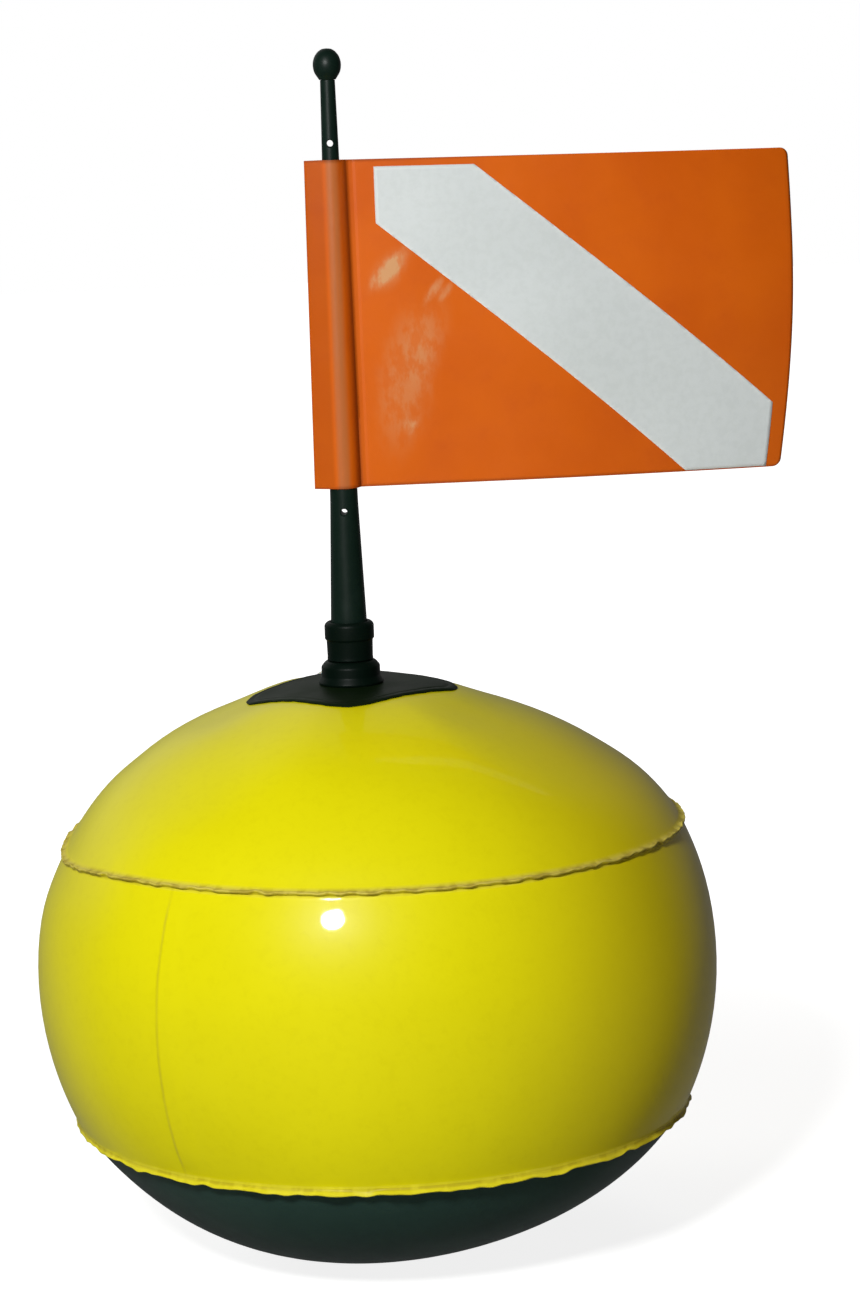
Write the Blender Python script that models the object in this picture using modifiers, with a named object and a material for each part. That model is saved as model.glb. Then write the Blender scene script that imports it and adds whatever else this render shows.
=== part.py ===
"""Dive flag float: a welded PVC ball with a mast in its top and a diver-down flag on the mast.

Three sheet panels make the ball: a top dome, a side band and a black bottom dome. Their rims turn
outwards into flat flanges that are welded face to face. A black patch and a stepped socket on the
top dome hold the mast, which pulls out upwards. The flag is one sheet, folded round the mast and
welded back on itself, so it turns freely. The mouth valve sits behind on the top dome, and the
tow ring behind on the bottom dome. A weight in a pocket inside keeps the mast upright.

Frame: metres, +Z up, the origin at the middle of the flat that the float stands on, the flag
towards +X and its front towards -Y.
"""

import math

import bmesh
import bpy
from mathutils import Matrix, Vector

NAME = "dive_flag_float"

# Clearances and cutting
GAP = 0.0003
RUNNING_GAP = 0.00035
OVERRUN = 0.002
MERGE = 0.00001
SHARP_ANGLE = math.radians(32)

# The PVC sheet of the ball, its patches and the weight's pocket
SHEET = 0.0008

# Ball
SEAM_RADIUS = 0.1535
BAND_BULGE = 0.0165
BAND_HEIGHT = 0.1412
DOME_RISE = 0.0755
REST_RADIUS = 0.030
FLANGE_WIDTH = 0.0035
UPPER_LIP = math.radians(20)
LOWER_LIP = math.radians(45)
BALL_STEPS = 56
DOME_SEGMENTS = 8
BAND_SEGMENTS = 10

# The band's overlapped weld, a strip of double sheet from flange to flange
LAP_WIDTH = 0.012
LAP_SETBACK = 0.004
LAP_AZIMUTH = math.radians(-132)

# The way that the mast's holes and a corner of the top patch face
FRONT_AZIMUTH = math.radians(-98)

# Top patch, a square with rounded corners
PATCH_SIDE = 0.086
PATCH_CORNER = 0.020
PATCH_RINGS = 4
CORNER_SEGMENTS = 4

# Mast, with heights above its shoulder, which seats on the socket's tube
SPIGOT_RADIUS = 0.0070
SPIGOT_LENGTH = 0.049
SPIGOT_CHAMFER = 0.0012
MAST_SHOULDER = 0.0019
WAIST_HEIGHT = 0.058
WAIST_RADIUS = 0.0069
MAST_LENGTH = 0.264
TIP_RADIUS = 0.0036
MAST_STEPS = 24

# Cross holes above and below the flag
HOLE_RADIUS = 0.0016
HOLE_ABOVE_FLAG = 0.008
HOLE_BELOW_FLAG = 0.0115

# Knob, pressed on a pin at the mast's tip
KNOB_HEIGHT = 0.015
KNOB_RADIUS = 0.0069
KNOB_PIN_RADIUS = 0.0024
KNOB_PIN_LENGTH = 0.008
KNOB_SHARES = (
    (0.40, 0.97),
    (0.72, 0.86),
    (0.93, 0.68),
    (1.00, 0.50),
    (0.96, 0.33),
    (0.78, 0.18),
    (0.60, 0.06),
    (0.55, 0.00),
)

# Mast socket, with heights above the top of the patch
TUBE_WALL = 0.0023
TUBE_TOP = 0.027
CUP_FLOOR = 0.002
SLEEVE_WALL = 0.0015
SLEEVE_LIP = 0.0008
SLEEVE_LIP_HEIGHT = 0.0085
SLEEVE_RISE = 0.0033
SLEEVE_CHAMFER = 0.0015
RING_STEP = 0.0031
RING_TOP = 0.008
RING_SHOULDER = 0.0028
FOOT_STEP = 0.0016
FOOT_HEIGHT = 0.002
SOCKET_STEPS = 32

# Flag, hung below the mast's tip, with reaches from the mast's axis
FLAG_DROP = 0.0385
FLAG_HEIGHT = 0.160
FLAG_REACH = 0.226
FLAG_FOLD = 0.0122
FLAG_SHEET = 0.0005
FLAG_CLEARANCE = 0.0005
FLAG_CORNER = 0.004
CREASE_SLACK_TOP = 0.0054
CREASE_SLACK_BOTTOM = 0.0012
WELD_MARGIN = 0.005
WELD_SINK_SHARE = 0.25
FLAG_BOW = 0.005
FLAG_CURL = 0.009
CURL_REACH_POWER = 6
CURL_RISE_POWER = 2
FLAG_ROWS = 8
PLATE_COLUMNS = 18
ARC_COLUMNS = 9
SLEEVE_SIDE_COLUMNS = 2

# Diagonal stripe, a film on each face of the flag
STRIPE_WIDTH = 0.052
STRIPE_ANGLE = math.radians(39.6)
STRIPE_START = 0.0205
STRIPE_TOP_END = 0.0689
STRIPE_FLY_MARGIN = 0.0076
STRIPE_TOP_MARGIN = 0.0037
STRIPE_BOTTOM_MARGIN = 0.0006
STRIPE_FILM = 0.0003
STRIPE_COLUMNS = 16

# Mouth valve, on the top dome behind the mast, placed in from the seam
VALVE_INSET = 0.0485
VALVE_FLANGE_RADIUS = 0.015
VALVE_FLANGE = 0.001
STEM_BORE = 0.0042
STEM_WALL = 0.002
STEM_HEIGHT = 0.011
STEM_DEPTH = 0.012
STEM_CHAMFER = 0.0005
COLLAR_WIDTH = 0.0022
COLLAR_HEIGHT = 0.0024
STRAP_HALF_WIDTH = 0.0025
STRAP_THICKNESS = 0.0012
STRAP_GAP = 0.0015
HINGE_GAP = 0.0002
PLUG_RADIUS = 0.0076
PLUG_HEAD = 0.0022
PLUG_CHAMFER = 0.0006
PLUG_PIN_LENGTH = 0.005
PLUG_PIN_TAPER = 0.00145
PLUG_TONGUE = 0.001
PLUG_LIP = 0.003
PLUG_LIP_THICKNESS = 0.0014
FLAP_LAP = 0.0012
FLAP_THICKNESS = 0.0008
FLAP_TONGUE_HALF_WIDTH = 0.0025
VALVE_STEPS = 24

# Tow point, on the bottom dome behind, placed in from the seam
TOW_INSET = 0.0205
TOW_PATCH_RADIUS = 0.021
TOW_SECTOR_STEPS = 2
TAB_HALF_WIDTH = 0.010
TAB_WEBBING = 0.0012
TAB_TAIL = 0.011
TAB_TAIL_SEGMENTS = 3
TAB_EYE = 0.009
TAB_ARC_SEGMENTS = 14
RING_WIRE = 0.002
RING_SIDE_GAP = 0.0015
RING_DROP = 0.008
RING_BOW_SEGMENTS = 10
RING_BEND_SEGMENTS = 3

# Weight and its pocket, inside on the bottom dome's flat
WEIGHT_RADIUS = 0.025
WEIGHT_HEIGHT = 0.016
WEIGHT_CHAMFER = 0.001
POCKET_FLANGE = 0.0035

# Sizes that follow from those above
BALL_RADIUS = SEAM_RADIUS + BAND_BULGE
FLANGE_LIFT = GAP / 2 + SHEET
DOME_DEPTH = DOME_RISE / (1 - math.sqrt(1 - (SEAM_RADIUS / BALL_RADIUS) ** 2))
BAND_ARC = ((BAND_HEIGHT / 2) ** 2 + BAND_BULGE**2) / (2 * BAND_BULGE)

BORE_RADIUS = SPIGOT_RADIUS + RUNNING_GAP
TUBE_RADIUS = BORE_RADIUS + TUBE_WALL
SLEEVE_BORE = TUBE_RADIUS + GAP
SLEEVE_RADIUS = SLEEVE_BORE + SLEEVE_WALL
MAST_FOOT_RADIUS = SPIGOT_RADIUS + MAST_SHOULDER
RING_RADIUS = SLEEVE_RADIUS + RING_STEP
FOOT_RADIUS = RING_RADIUS + FOOT_STEP
SOCKET_HOLE = TUBE_RADIUS + GAP
PATCH_TOP_OFFSET = GAP + SHEET
FLAG_RAISE = MAST_LENGTH - FLAG_DROP - FLAG_HEIGHT

VALVE_REACH = SEAM_RADIUS - VALVE_INSET
STEM_RADIUS = STEM_BORE + STEM_WALL
COLLAR_BORE = STEM_RADIUS + GAP
COLLAR_RADIUS = COLLAR_BORE + COLLAR_WIDTH
COLLAR_Z = GAP + VALVE_FLANGE + GAP
PLUG_Z = STEM_HEIGHT + GAP
PLUG_PIN_RADIUS = STEM_BORE - RUNNING_GAP
STRAP_Y = max(PLUG_RADIUS, COLLAR_RADIUS) + STRAP_GAP
PLUG_HINGE_Y = STRAP_Y + STRAP_THICKNESS + HINGE_GAP
PLUG_HINGE_Z = PLUG_Z + PLUG_HEAD / 2 - HINGE_GAP
FLAP_Z = -STEM_DEPTH - GAP
FLAP_HINGE_Y = STEM_RADIUS
FLAP_HINGE_Z = FLAP_Z - FLAP_THICKNESS / 2

TOW_REACH = SEAM_RADIUS - TOW_INSET
TAB_REACH = TOW_REACH + TAB_TAIL
TAB_Z = PATCH_TOP_OFFSET + GAP
EYE_BORE = RING_WIRE + RUNNING_GAP
EYE_RADIUS = EYE_BORE + TAB_WEBBING
EYE_Z = TAB_Z + EYE_RADIUS
RING_BEND = RING_SIDE_GAP + RING_WIRE
RING_HALF_WIDTH = TAB_HALF_WIDTH + RING_BEND


def dome_drop(radius):
    """How far a dome's surface has fallen from its middle at this radius."""
    return DOME_DEPTH * (1 - math.sqrt(1 - (radius / BALL_RADIUS) ** 2))


def dome_slope(radius):
    """The dome's slope from level at this radius, in radians."""
    share = radius / BALL_RADIUS
    return math.atan(DOME_DEPTH * share / (BALL_RADIUS * math.sqrt(1 - share**2)))


def rim_radius(lip):
    """A dome's radius where it folds into a flange that leans by this angle."""
    return SEAM_RADIUS - FLANGE_LIFT * math.sin(lip)


def band_reach(lip):
    """The angle up or down the band's arc to its fold into a flange that leans by this angle."""
    radius = SEAM_RADIUS + FLANGE_LIFT * math.sin(lip)
    return math.acos((radius - BALL_RADIUS + BAND_ARC) / BAND_ARC)


def flange_tip(fold, lip):
    """The end of a flange that leaves its fold outwards, rising by this angle."""
    radius, z = fold
    return radius + FLANGE_WIDTH * math.cos(lip), z + FLANGE_WIDTH * math.sin(lip)


# Heights of the ball, from the flat up
REST_CUT = dome_drop(REST_RADIUS)
LOWER_RIM_Z = dome_drop(rim_radius(LOWER_LIP)) - REST_CUT
LOWER_FOLD_Z = LOWER_RIM_Z + 2 * FLANGE_LIFT * math.cos(LOWER_LIP)
EQUATOR_Z = LOWER_FOLD_Z + BAND_ARC * math.sin(band_reach(LOWER_LIP))
UPPER_FOLD_Z = EQUATOR_Z + BAND_ARC * math.sin(band_reach(UPPER_LIP))
UPPER_RIM_Z = UPPER_FOLD_Z + 2 * FLANGE_LIFT * math.cos(UPPER_LIP)
APEX_Z = UPPER_RIM_Z + dome_drop(rim_radius(UPPER_LIP))
SOCKET_Z = APEX_Z + PATCH_TOP_OFFSET + GAP
SHOULDER_Z = SOCKET_Z + TUBE_TOP + GAP
FLAG_BOTTOM_Z = SHOULDER_Z + FLAG_RAISE


def dome_line(inner, outer, segments, offset=0.0):
    """Radius and drop of points along a dome, moved out from its surface by the offset."""
    first, last = math.asin(inner / BALL_RADIUS), math.asin(outer / BALL_RADIUS)
    points = []
    for i in range(segments + 1):
        radius = BALL_RADIUS * math.sin(first + (last - first) * i / segments)
        slope = dome_slope(radius)
        points.append((radius + offset * math.sin(slope), dome_drop(radius) - offset * math.cos(slope)))
    return points


def on_top_dome(points):
    """Profile points of a dome line on the top dome, from the middle down."""
    return [(radius, APEX_Z - drop) for radius, drop in points]


def on_bottom_dome(points):
    """Profile points of a dome line on the bottom dome, from its rim down."""
    return [(radius, drop - REST_CUT) for radius, drop in reversed(points)]


def band_line(offset=0.0, setback=0.0):
    """Profile points down the band's arc, moved out by the offset and cut short at both ends."""
    top = band_reach(UPPER_LIP) - setback / BAND_ARC
    bottom = setback / BAND_ARC - band_reach(LOWER_LIP)
    points = []
    for i in range(BAND_SEGMENTS + 1):
        angle = top + (bottom - top) * i / BAND_SEGMENTS
        radius = BALL_RADIUS - BAND_ARC + (BAND_ARC + offset) * math.cos(angle)
        points.append((radius, EQUATOR_Z + (BAND_ARC + offset) * math.sin(angle)))
    return points


def mast_radius(z):
    """The mast's radius at this height above its shoulder."""
    if z < WAIST_HEIGHT:
        share = z / WAIST_HEIGHT
        return MAST_FOOT_RADIUS + (WAIST_RADIUS - MAST_FOOT_RADIUS) * share
    share = (z - WAIST_HEIGHT) / (MAST_LENGTH - WAIST_HEIGHT)
    return WAIST_RADIUS + (TIP_RADIUS - WAIST_RADIUS) * share


def clear_scene():
    for obj in list(bpy.data.objects):
        bpy.data.objects.remove(obj)


def make_collection(name):
    collection = bpy.data.collections.new(name)
    bpy.context.scene.collection.children.link(collection)
    return collection


def make_material(name, colour, roughness, metallic=0.0):
    material = bpy.data.materials.new(name)
    material.use_nodes = True
    shader = material.node_tree.nodes["Principled BSDF"]
    shader.inputs["Base Color"].default_value = (*colour, 1.0)
    shader.inputs["Roughness"].default_value = roughness
    shader.inputs["Metallic"].default_value = metallic
    material.diffuse_color = (*colour, 1.0)
    return material


def profile_mesh(name, points, closed):
    """A line of edges in the XZ plane, for a Screw modifier to turn."""
    bm = bmesh.new()
    verts = [bm.verts.new((radius, 0.0, z)) for radius, z in points]
    ends = verts[1:] + verts[:1] if closed else verts[1:]
    for first, second in zip(verts, ends):
        bm.edges.new((first, second))
    mesh = bpy.data.meshes.new(name)
    bm.to_mesh(mesh)
    bm.free()
    return mesh


def box_mesh(name, low, high):
    """A box between two corners."""
    low, high = Vector(low), Vector(high)
    bm = bmesh.new()
    bmesh.ops.create_cube(bm, size=1.0)
    bmesh.ops.scale(bm, vec=high - low, verts=bm.verts)
    bmesh.ops.translate(bm, vec=(low + high) / 2, verts=bm.verts)
    mesh = bpy.data.meshes.new(name)
    bm.to_mesh(mesh)
    bm.free()
    return mesh


def rod_mesh(name, radius, length, steps):
    """A cylinder along Z about the origin."""
    bm = bmesh.new()
    bmesh.ops.create_cone(
        bm, cap_ends=True, segments=steps, radius1=radius, radius2=radius, depth=length
    )
    mesh = bpy.data.meshes.new(name)
    bm.to_mesh(mesh)
    bm.free()
    return mesh


def sheet_mesh(name, columns, rows, place):
    """A grid whose points go where place puts their column and row."""
    bm = bmesh.new()
    bmesh.ops.create_grid(bm, x_segments=columns, y_segments=rows, size=1.0)
    for vert in bm.verts:
        column = round((vert.co.x + 1) / 2 * columns)
        row = round((vert.co.y + 1) / 2 * rows)
        vert.co = place(column, row)
    mesh = bpy.data.meshes.new(name)
    bm.to_mesh(mesh)
    bm.free()
    return mesh


def set_solidify(obj, thickness, offset):
    modifier = obj.modifiers.new("Sheet", "SOLIDIFY")
    modifier.thickness = thickness
    modifier.offset = offset
    modifier.use_even_offset = True


def set_boolean(obj, other, operation):
    modifier = obj.modifiers.new(operation.title(), "BOOLEAN")
    modifier.solver = "EXACT"
    modifier.operation = operation
    modifier.object = other


class Bench:
    """Makes objects: pieces in one collection, cutters and helpers in another."""

    def __init__(self, name):
        self.pieces = make_collection(name)
        self.helpers = make_collection(name + "_cutters")
        self.materials = {
            "yellow_pvc": make_material("yellow_pvc", (0.72, 0.66, 0.012), 0.35),
            "black_pvc": make_material("black_pvc", (0.012, 0.022, 0.020), 0.40),
            "black_plastic": make_material("black_plastic", (0.012, 0.024, 0.020), 0.45),
            "orange_pvc": make_material("orange_pvc", (0.68, 0.12, 0.012), 0.38),
            "white_film": make_material("white_film", (0.66, 0.68, 0.68), 0.45),
            "clear_pvc": make_material("clear_pvc", (0.55, 0.56, 0.52), 0.30),
            "steel": make_material("steel", (0.62, 0.62, 0.60), 0.28, 1.0),
            "iron": make_material("iron", (0.16, 0.16, 0.165), 0.60, 0.9),
        }

    def piece(self, name, data, material, parent=None):
        """An object for a sub-part, at its parent's origin."""
        obj = bpy.data.objects.new(name, data)
        self.pieces.objects.link(obj)
        data.materials.append(self.materials[material])
        obj.parent = parent
        return obj

    def helper(self, name, data, parent=None):
        """An object that cuts or joins another and isn't a sub-part."""
        obj = bpy.data.objects.new(name, data)
        self.helpers.objects.link(obj)
        obj.hide_render = True
        obj.display_type = "WIRE"
        obj.parent = parent
        return obj

    def seat(self, name, location, tilt=0.0):
        """An empty that carries pieces: its Z leaves the surface there."""
        empty = bpy.data.objects.new(name, None)
        self.pieces.objects.link(empty)
        empty.location = location
        empty.rotation_euler = (tilt, 0.0, 0.0)
        empty.empty_display_size = BALL_RADIUS / 8
        return empty

    def turn(self, obj, steps, angle=2 * math.pi):
        """Turns the object's profile about its own Z."""
        screw = obj.modifiers.new("Turn", "SCREW")
        screw.axis = "Z"
        screw.angle = angle
        screw.steps = screw.render_steps = steps
        screw.use_merge_vertices = True
        screw.merge_threshold = MERGE
        return obj

    def extrusion(self, name, outlines, half_width):
        """A mesh from closed outlines in the YZ plane, with a width along X either way."""
        curve = bpy.data.curves.new(name + "_outline", "CURVE")
        curve.dimensions = "2D"
        curve.fill_mode = "BOTH"
        curve.extrude = half_width
        for outline in outlines:
            spline = curve.splines.new("POLY")
            spline.points.add(len(outline) - 1)
            for point, (y, z) in zip(spline.points, outline):
                point.co = (y, z, 0.0, 1.0)
            spline.use_cyclic_u = True
        drawn = bpy.data.objects.new(name + "_outline", curve)
        self.helpers.objects.link(drawn)
        graph = bpy.context.evaluated_depsgraph_get()
        mesh = bpy.data.meshes.new_from_object(drawn.evaluated_get(graph))
        bpy.data.objects.remove(drawn)
        bpy.data.curves.remove(curve)
        bm = bmesh.new()
        bm.from_mesh(mesh)
        bmesh.ops.remove_doubles(bm, verts=bm.verts, dist=MERGE)
        bmesh.ops.transform(bm, matrix=Matrix(((0, 0, 1), (1, 0, 0), (0, 1, 0))).to_4x4(), verts=bm.verts)
        bmesh.ops.recalc_face_normals(bm, faces=bm.faces)
        bm.to_mesh(mesh)
        bm.free()
        return mesh

    def settle(self, obj):
        """Applies the modifiers and shades the result smooth but for its sharp edges."""
        graph = bpy.context.evaluated_depsgraph_get()
        mesh = bpy.data.meshes.new_from_object(obj.evaluated_get(graph))
        obj.modifiers.clear()
        obj.data = mesh
        mesh.shade_smooth()
        mesh.set_sharp_from_angle(angle=SHARP_ANGLE)
        return obj


def make_top_panel(bench, valve_seat):
    """The yellow dome, with the socket's hole in its middle and the valve's behind."""
    profile = on_top_dome(dome_line(SOCKET_HOLE, rim_radius(UPPER_LIP), DOME_SEGMENTS))
    profile.append(flange_tip(profile[-1], UPPER_LIP))
    panel = bench.piece("top_panel", profile_mesh("top_panel", profile, False), "yellow_pvc")
    bench.turn(panel, BALL_STEPS)
    set_solidify(panel, SHEET, -1)
    hole = rod_mesh("valve_hole", STEM_RADIUS + GAP, 2 * (STEM_DEPTH + OVERRUN), VALVE_STEPS)
    set_boolean(panel, bench.helper("valve_hole", hole, valve_seat), "DIFFERENCE")
    return bench.settle(panel)


def make_side_band(bench):
    """The yellow band, whose ends overlap in an upright lap weld."""
    arc = band_line()
    profile = [flange_tip(arc[0], UPPER_LIP), *arc, flange_tip(arc[-1], -LOWER_LIP)]
    band = bench.piece("side_band", profile_mesh("side_band", profile, False), "yellow_pvc")
    bench.turn(band, BALL_STEPS)
    set_solidify(band, SHEET, -1)
    lap = bench.helper("band_lap", profile_mesh("band_lap", band_line(SHEET, LAP_SETBACK), False))
    lap_angle = LAP_WIDTH / BALL_RADIUS
    lap.rotation_euler.z = LAP_AZIMUTH - lap_angle / 2
    bench.turn(lap, 2, lap_angle)
    set_solidify(lap, SHEET * 3 / 2, -1)
    set_boolean(band, lap, "UNION")
    return bench.settle(band)


def make_bottom_panel(bench):
    """The black dome, flat in the middle where the float stands."""
    profile = on_bottom_dome(dome_line(REST_RADIUS, rim_radius(LOWER_LIP), DOME_SEGMENTS))
    profile.insert(0, flange_tip(profile[0], -LOWER_LIP))
    profile.append((0.0, 0.0))
    panel = bench.piece("bottom_panel", profile_mesh("bottom_panel", profile, False), "black_pvc")
    bench.turn(panel, BALL_STEPS)
    set_solidify(panel, SHEET, -1)
    return bench.settle(panel)


def make_top_patch(bench):
    """The black patch, cut from a second skin over the dome to a square with rounded corners."""
    reach = PATCH_SIDE / math.sqrt(2) - PATCH_CORNER * (math.sqrt(2) - 1) + OVERRUN
    profile = on_top_dome(dome_line(SOCKET_HOLE, reach, PATCH_RINGS, PATCH_TOP_OFFSET))
    patch = bench.piece("top_patch", profile_mesh("top_patch", profile, False), "black_pvc")
    bench.turn(patch, BALL_STEPS)
    set_solidify(patch, SHEET, -1)
    half, depth = PATCH_SIDE / 2, dome_drop(reach) + OVERRUN
    block = box_mesh("patch_outline", (-half, -half, -depth), (half, half, depth))
    bm = bmesh.new()
    bm.from_mesh(block)
    upright = [edge for edge in bm.edges if abs(edge.verts[0].co.z - edge.verts[1].co.z) > depth]
    bmesh.ops.bevel(
        bm, geom=upright, offset=PATCH_CORNER, segments=CORNER_SEGMENTS, affect="EDGES", profile=0.5
    )
    bm.to_mesh(block)
    bm.free()
    outline = bench.helper("patch_outline", block)
    outline.location.z = APEX_Z
    outline.rotation_euler.z = FRONT_AZIMUTH + math.pi / 4
    set_boolean(patch, outline, "INTERSECT")
    return bench.settle(patch)


def make_socket_base(bench):
    """The flanged boss welded on the patch, with a tube above it and a closed cup below."""
    seat = dome_line(TUBE_RADIUS, FOOT_RADIUS, 2, PATCH_TOP_OFFSET + GAP)
    underside = [(radius, APEX_Z - SOCKET_Z - drop) for radius, drop in reversed(seat)]
    cup_floor = TUBE_TOP + GAP - SPIGOT_LENGTH - RUNNING_GAP
    profile = [
        (0.0, cup_floor),
        (BORE_RADIUS, cup_floor),
        (BORE_RADIUS, TUBE_TOP),
        (TUBE_RADIUS, TUBE_TOP),
        (TUBE_RADIUS, RING_TOP + RING_SHOULDER),
        (SLEEVE_RADIUS + GAP, RING_TOP + RING_SHOULDER),
        (RING_RADIUS, RING_TOP),
        (RING_RADIUS, FOOT_HEIGHT),
        (FOOT_RADIUS, underside[0][1] + FOOT_HEIGHT / 2),
        *underside,
        (TUBE_RADIUS, cup_floor - CUP_FLOOR),
        (0.0, cup_floor - CUP_FLOOR),
    ]
    base = bench.piece("socket_base", profile_mesh("socket_base", profile, False), "black_plastic")
    base.location.z = SOCKET_Z
    return bench.settle(bench.turn(base, SOCKET_STEPS))


def make_socket_sleeve(bench):
    """The soft sleeve over the socket's tube, with a thick lip round the mast's foot."""
    bottom = RING_TOP + RING_SHOULDER + GAP
    top = TUBE_TOP + SLEEVE_RISE
    mouth = MAST_FOOT_RADIUS + RUNNING_GAP
    lip_radius = SLEEVE_RADIUS + SLEEVE_LIP
    profile = [
        (mouth, top),
        (lip_radius - SLEEVE_CHAMFER, top),
        (lip_radius, top - SLEEVE_CHAMFER),
        (lip_radius, top - SLEEVE_LIP_HEIGHT),
        (SLEEVE_RADIUS, top - SLEEVE_LIP_HEIGHT - SLEEVE_LIP),
        (SLEEVE_RADIUS, bottom),
        (SLEEVE_BORE, bottom),
        (SLEEVE_BORE, TUBE_TOP + GAP),
        (mouth, TUBE_TOP + GAP),
    ]
    sleeve = bench.piece("socket_sleeve", profile_mesh("socket_sleeve", profile, True), "black_pvc")
    sleeve.location.z = SOCKET_Z
    return bench.settle(bench.turn(sleeve, SOCKET_STEPS))


def make_mast(bench, mast_seat):
    """The tapered mast, with a spigot below its shoulder, a pin at its tip and two cross holes."""
    profile = [
        (0.0, MAST_LENGTH + KNOB_PIN_LENGTH),
        (KNOB_PIN_RADIUS, MAST_LENGTH + KNOB_PIN_LENGTH),
        (KNOB_PIN_RADIUS, MAST_LENGTH),
        (TIP_RADIUS, MAST_LENGTH),
        (WAIST_RADIUS, WAIST_HEIGHT),
        (MAST_FOOT_RADIUS, 0.0),
        (SPIGOT_RADIUS, 0.0),
        (SPIGOT_RADIUS, SPIGOT_CHAMFER - SPIGOT_LENGTH),
        (SPIGOT_RADIUS - SPIGOT_CHAMFER, -SPIGOT_LENGTH),
        (0.0, -SPIGOT_LENGTH),
    ]
    mast = bench.piece("mast", profile_mesh("mast", profile, False), "black_plastic", mast_seat)
    bench.turn(mast, MAST_STEPS)
    for name, z in (
        ("upper_hole", FLAG_RAISE + FLAG_HEIGHT + HOLE_ABOVE_FLAG),
        ("lower_hole", FLAG_RAISE - HOLE_BELOW_FLAG),
    ):
        length = 2 * (MAST_FOOT_RADIUS + OVERRUN)
        hole = bench.helper(name, rod_mesh(name, HOLE_RADIUS, length, MAST_STEPS // 2), mast_seat)
        hole.location.z = z
        hole.rotation_euler = (0.0, math.pi / 2, FRONT_AZIMUTH)
        set_boolean(mast, hole, "DIFFERENCE")
    return bench.settle(mast)


def make_mast_knob(bench, mast_seat):
    """The acorn knob on the mast's tip, with a blind bore for its pin."""
    bore = KNOB_PIN_RADIUS + GAP
    profile = [(0.0, KNOB_HEIGHT)]
    profile += [(KNOB_RADIUS * wide, KNOB_HEIGHT * high) for wide, high in KNOB_SHARES]
    profile += [(bore, 0.0), (bore, KNOB_PIN_LENGTH), (0.0, KNOB_PIN_LENGTH)]
    knob = bench.piece("mast_knob", profile_mesh("mast_knob", profile, False), "black_plastic", mast_seat)
    knob.location.z = MAST_LENGTH + GAP
    return bench.settle(bench.turn(knob, MAST_STEPS))


def plate_y(x, z, crease):
    """How far the open flag stands back at this reach and height above its bottom edge."""
    reach_share = max(0.0, (x - crease) / (FLAG_REACH - crease))
    rise_share = z / FLAG_HEIGHT
    curl = FLAG_CURL * reach_share**CURL_REACH_POWER * rise_share**CURL_RISE_POWER
    return curl - FLAG_BOW * math.sin(math.pi * reach_share)


def sleeve_section(z):
    """The sleeve's mid radius round the mast and its crease's reach, at this flag height."""
    radius = mast_radius(FLAG_RAISE + z) + FLAG_CLEARANCE + FLAG_SHEET / 2
    slack = CREASE_SLACK_BOTTOM + (CREASE_SLACK_TOP - CREASE_SLACK_BOTTOM) * z / FLAG_HEIGHT
    return radius, radius + slack


def sleeve_line(z, side, crease_y):
    """Plan points of one layer, from the fold round the mast to the crease. Side -1 is the front."""
    radius, crease = sleeve_section(z)
    start = math.pi - math.acos(radius / FLAG_FOLD)
    end = math.acos(radius / crease)
    arc = []
    for i in range(ARC_COLUMNS + 1):
        angle = start + (end - start) * i / ARC_COLUMNS
        arc.append(Vector((radius * math.cos(angle), side * radius * math.sin(angle))))
    fold, weld = Vector((-FLAG_FOLD, 0.0)), Vector((crease, crease_y))
    before = [fold.lerp(arc[0], i / SLEEVE_SIDE_COLUMNS) for i in range(SLEEVE_SIDE_COLUMNS)]
    after = [arc[-1].lerp(weld, (i + 1) / SLEEVE_SIDE_COLUMNS) for i in range(SLEEVE_SIDE_COLUMNS)]
    return before + arc + after


def front_point(column, row):
    """A point of the flag's front layer, from the fold to the fly."""
    z = FLAG_HEIGHT * row / FLAG_ROWS
    line = sleeve_line(z, -1, 0.0)
    if column < len(line):
        return Vector((*line[column], z))
    crease = line[-1].x
    x = crease + (FLAG_REACH - crease) * (column - len(line) + 1) / PLATE_COLUMNS
    return Vector((x, plate_y(x, z, crease), z))


def back_point(column, row):
    """A point of the hem behind the mast, from the fold to the end of the weld."""
    z = FLAG_HEIGHT * row / FLAG_ROWS
    above = FLAG_SHEET * (1 - WELD_SINK_SHARE)
    line = sleeve_line(z, 1, above)
    if column < len(line):
        return Vector((*line[column], z))
    crease = line[-1].x
    x = crease + WELD_MARGIN
    return Vector((x, plate_y(x, z, crease) + above, z))


def make_flag_sheet(bench, flag_seat):
    """The orange sheet, folded round the mast and welded back on itself."""
    sleeve_columns = ARC_COLUMNS + 2 * SLEEVE_SIDE_COLUMNS
    columns = sleeve_columns + PLATE_COLUMNS
    mesh = sheet_mesh("flag_sheet", columns, FLAG_ROWS, front_point)
    bm = bmesh.new()
    bm.from_mesh(mesh)
    fly = [vert for vert in bm.verts if vert.co.x > FLAG_REACH - FLAG_SHEET]
    corners = [min(fly, key=lambda vert: vert.co.z), max(fly, key=lambda vert: vert.co.z)]
    bmesh.ops.bevel(
        bm, geom=corners, offset=FLAG_CORNER, segments=CORNER_SEGMENTS, affect="VERTICES", profile=0.5
    )
    bm.to_mesh(mesh)
    bm.free()
    flag = bench.piece("flag_sheet", mesh, "orange_pvc", flag_seat)
    set_solidify(flag, FLAG_SHEET, 0)
    hem = bench.helper(
        "flag_hem", sheet_mesh("flag_hem", sleeve_columns + 1, FLAG_ROWS, back_point), flag_seat
    )
    set_solidify(hem, FLAG_SHEET, 0)
    set_boolean(flag, hem, "UNION")
    return bench.settle(flag)


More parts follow.
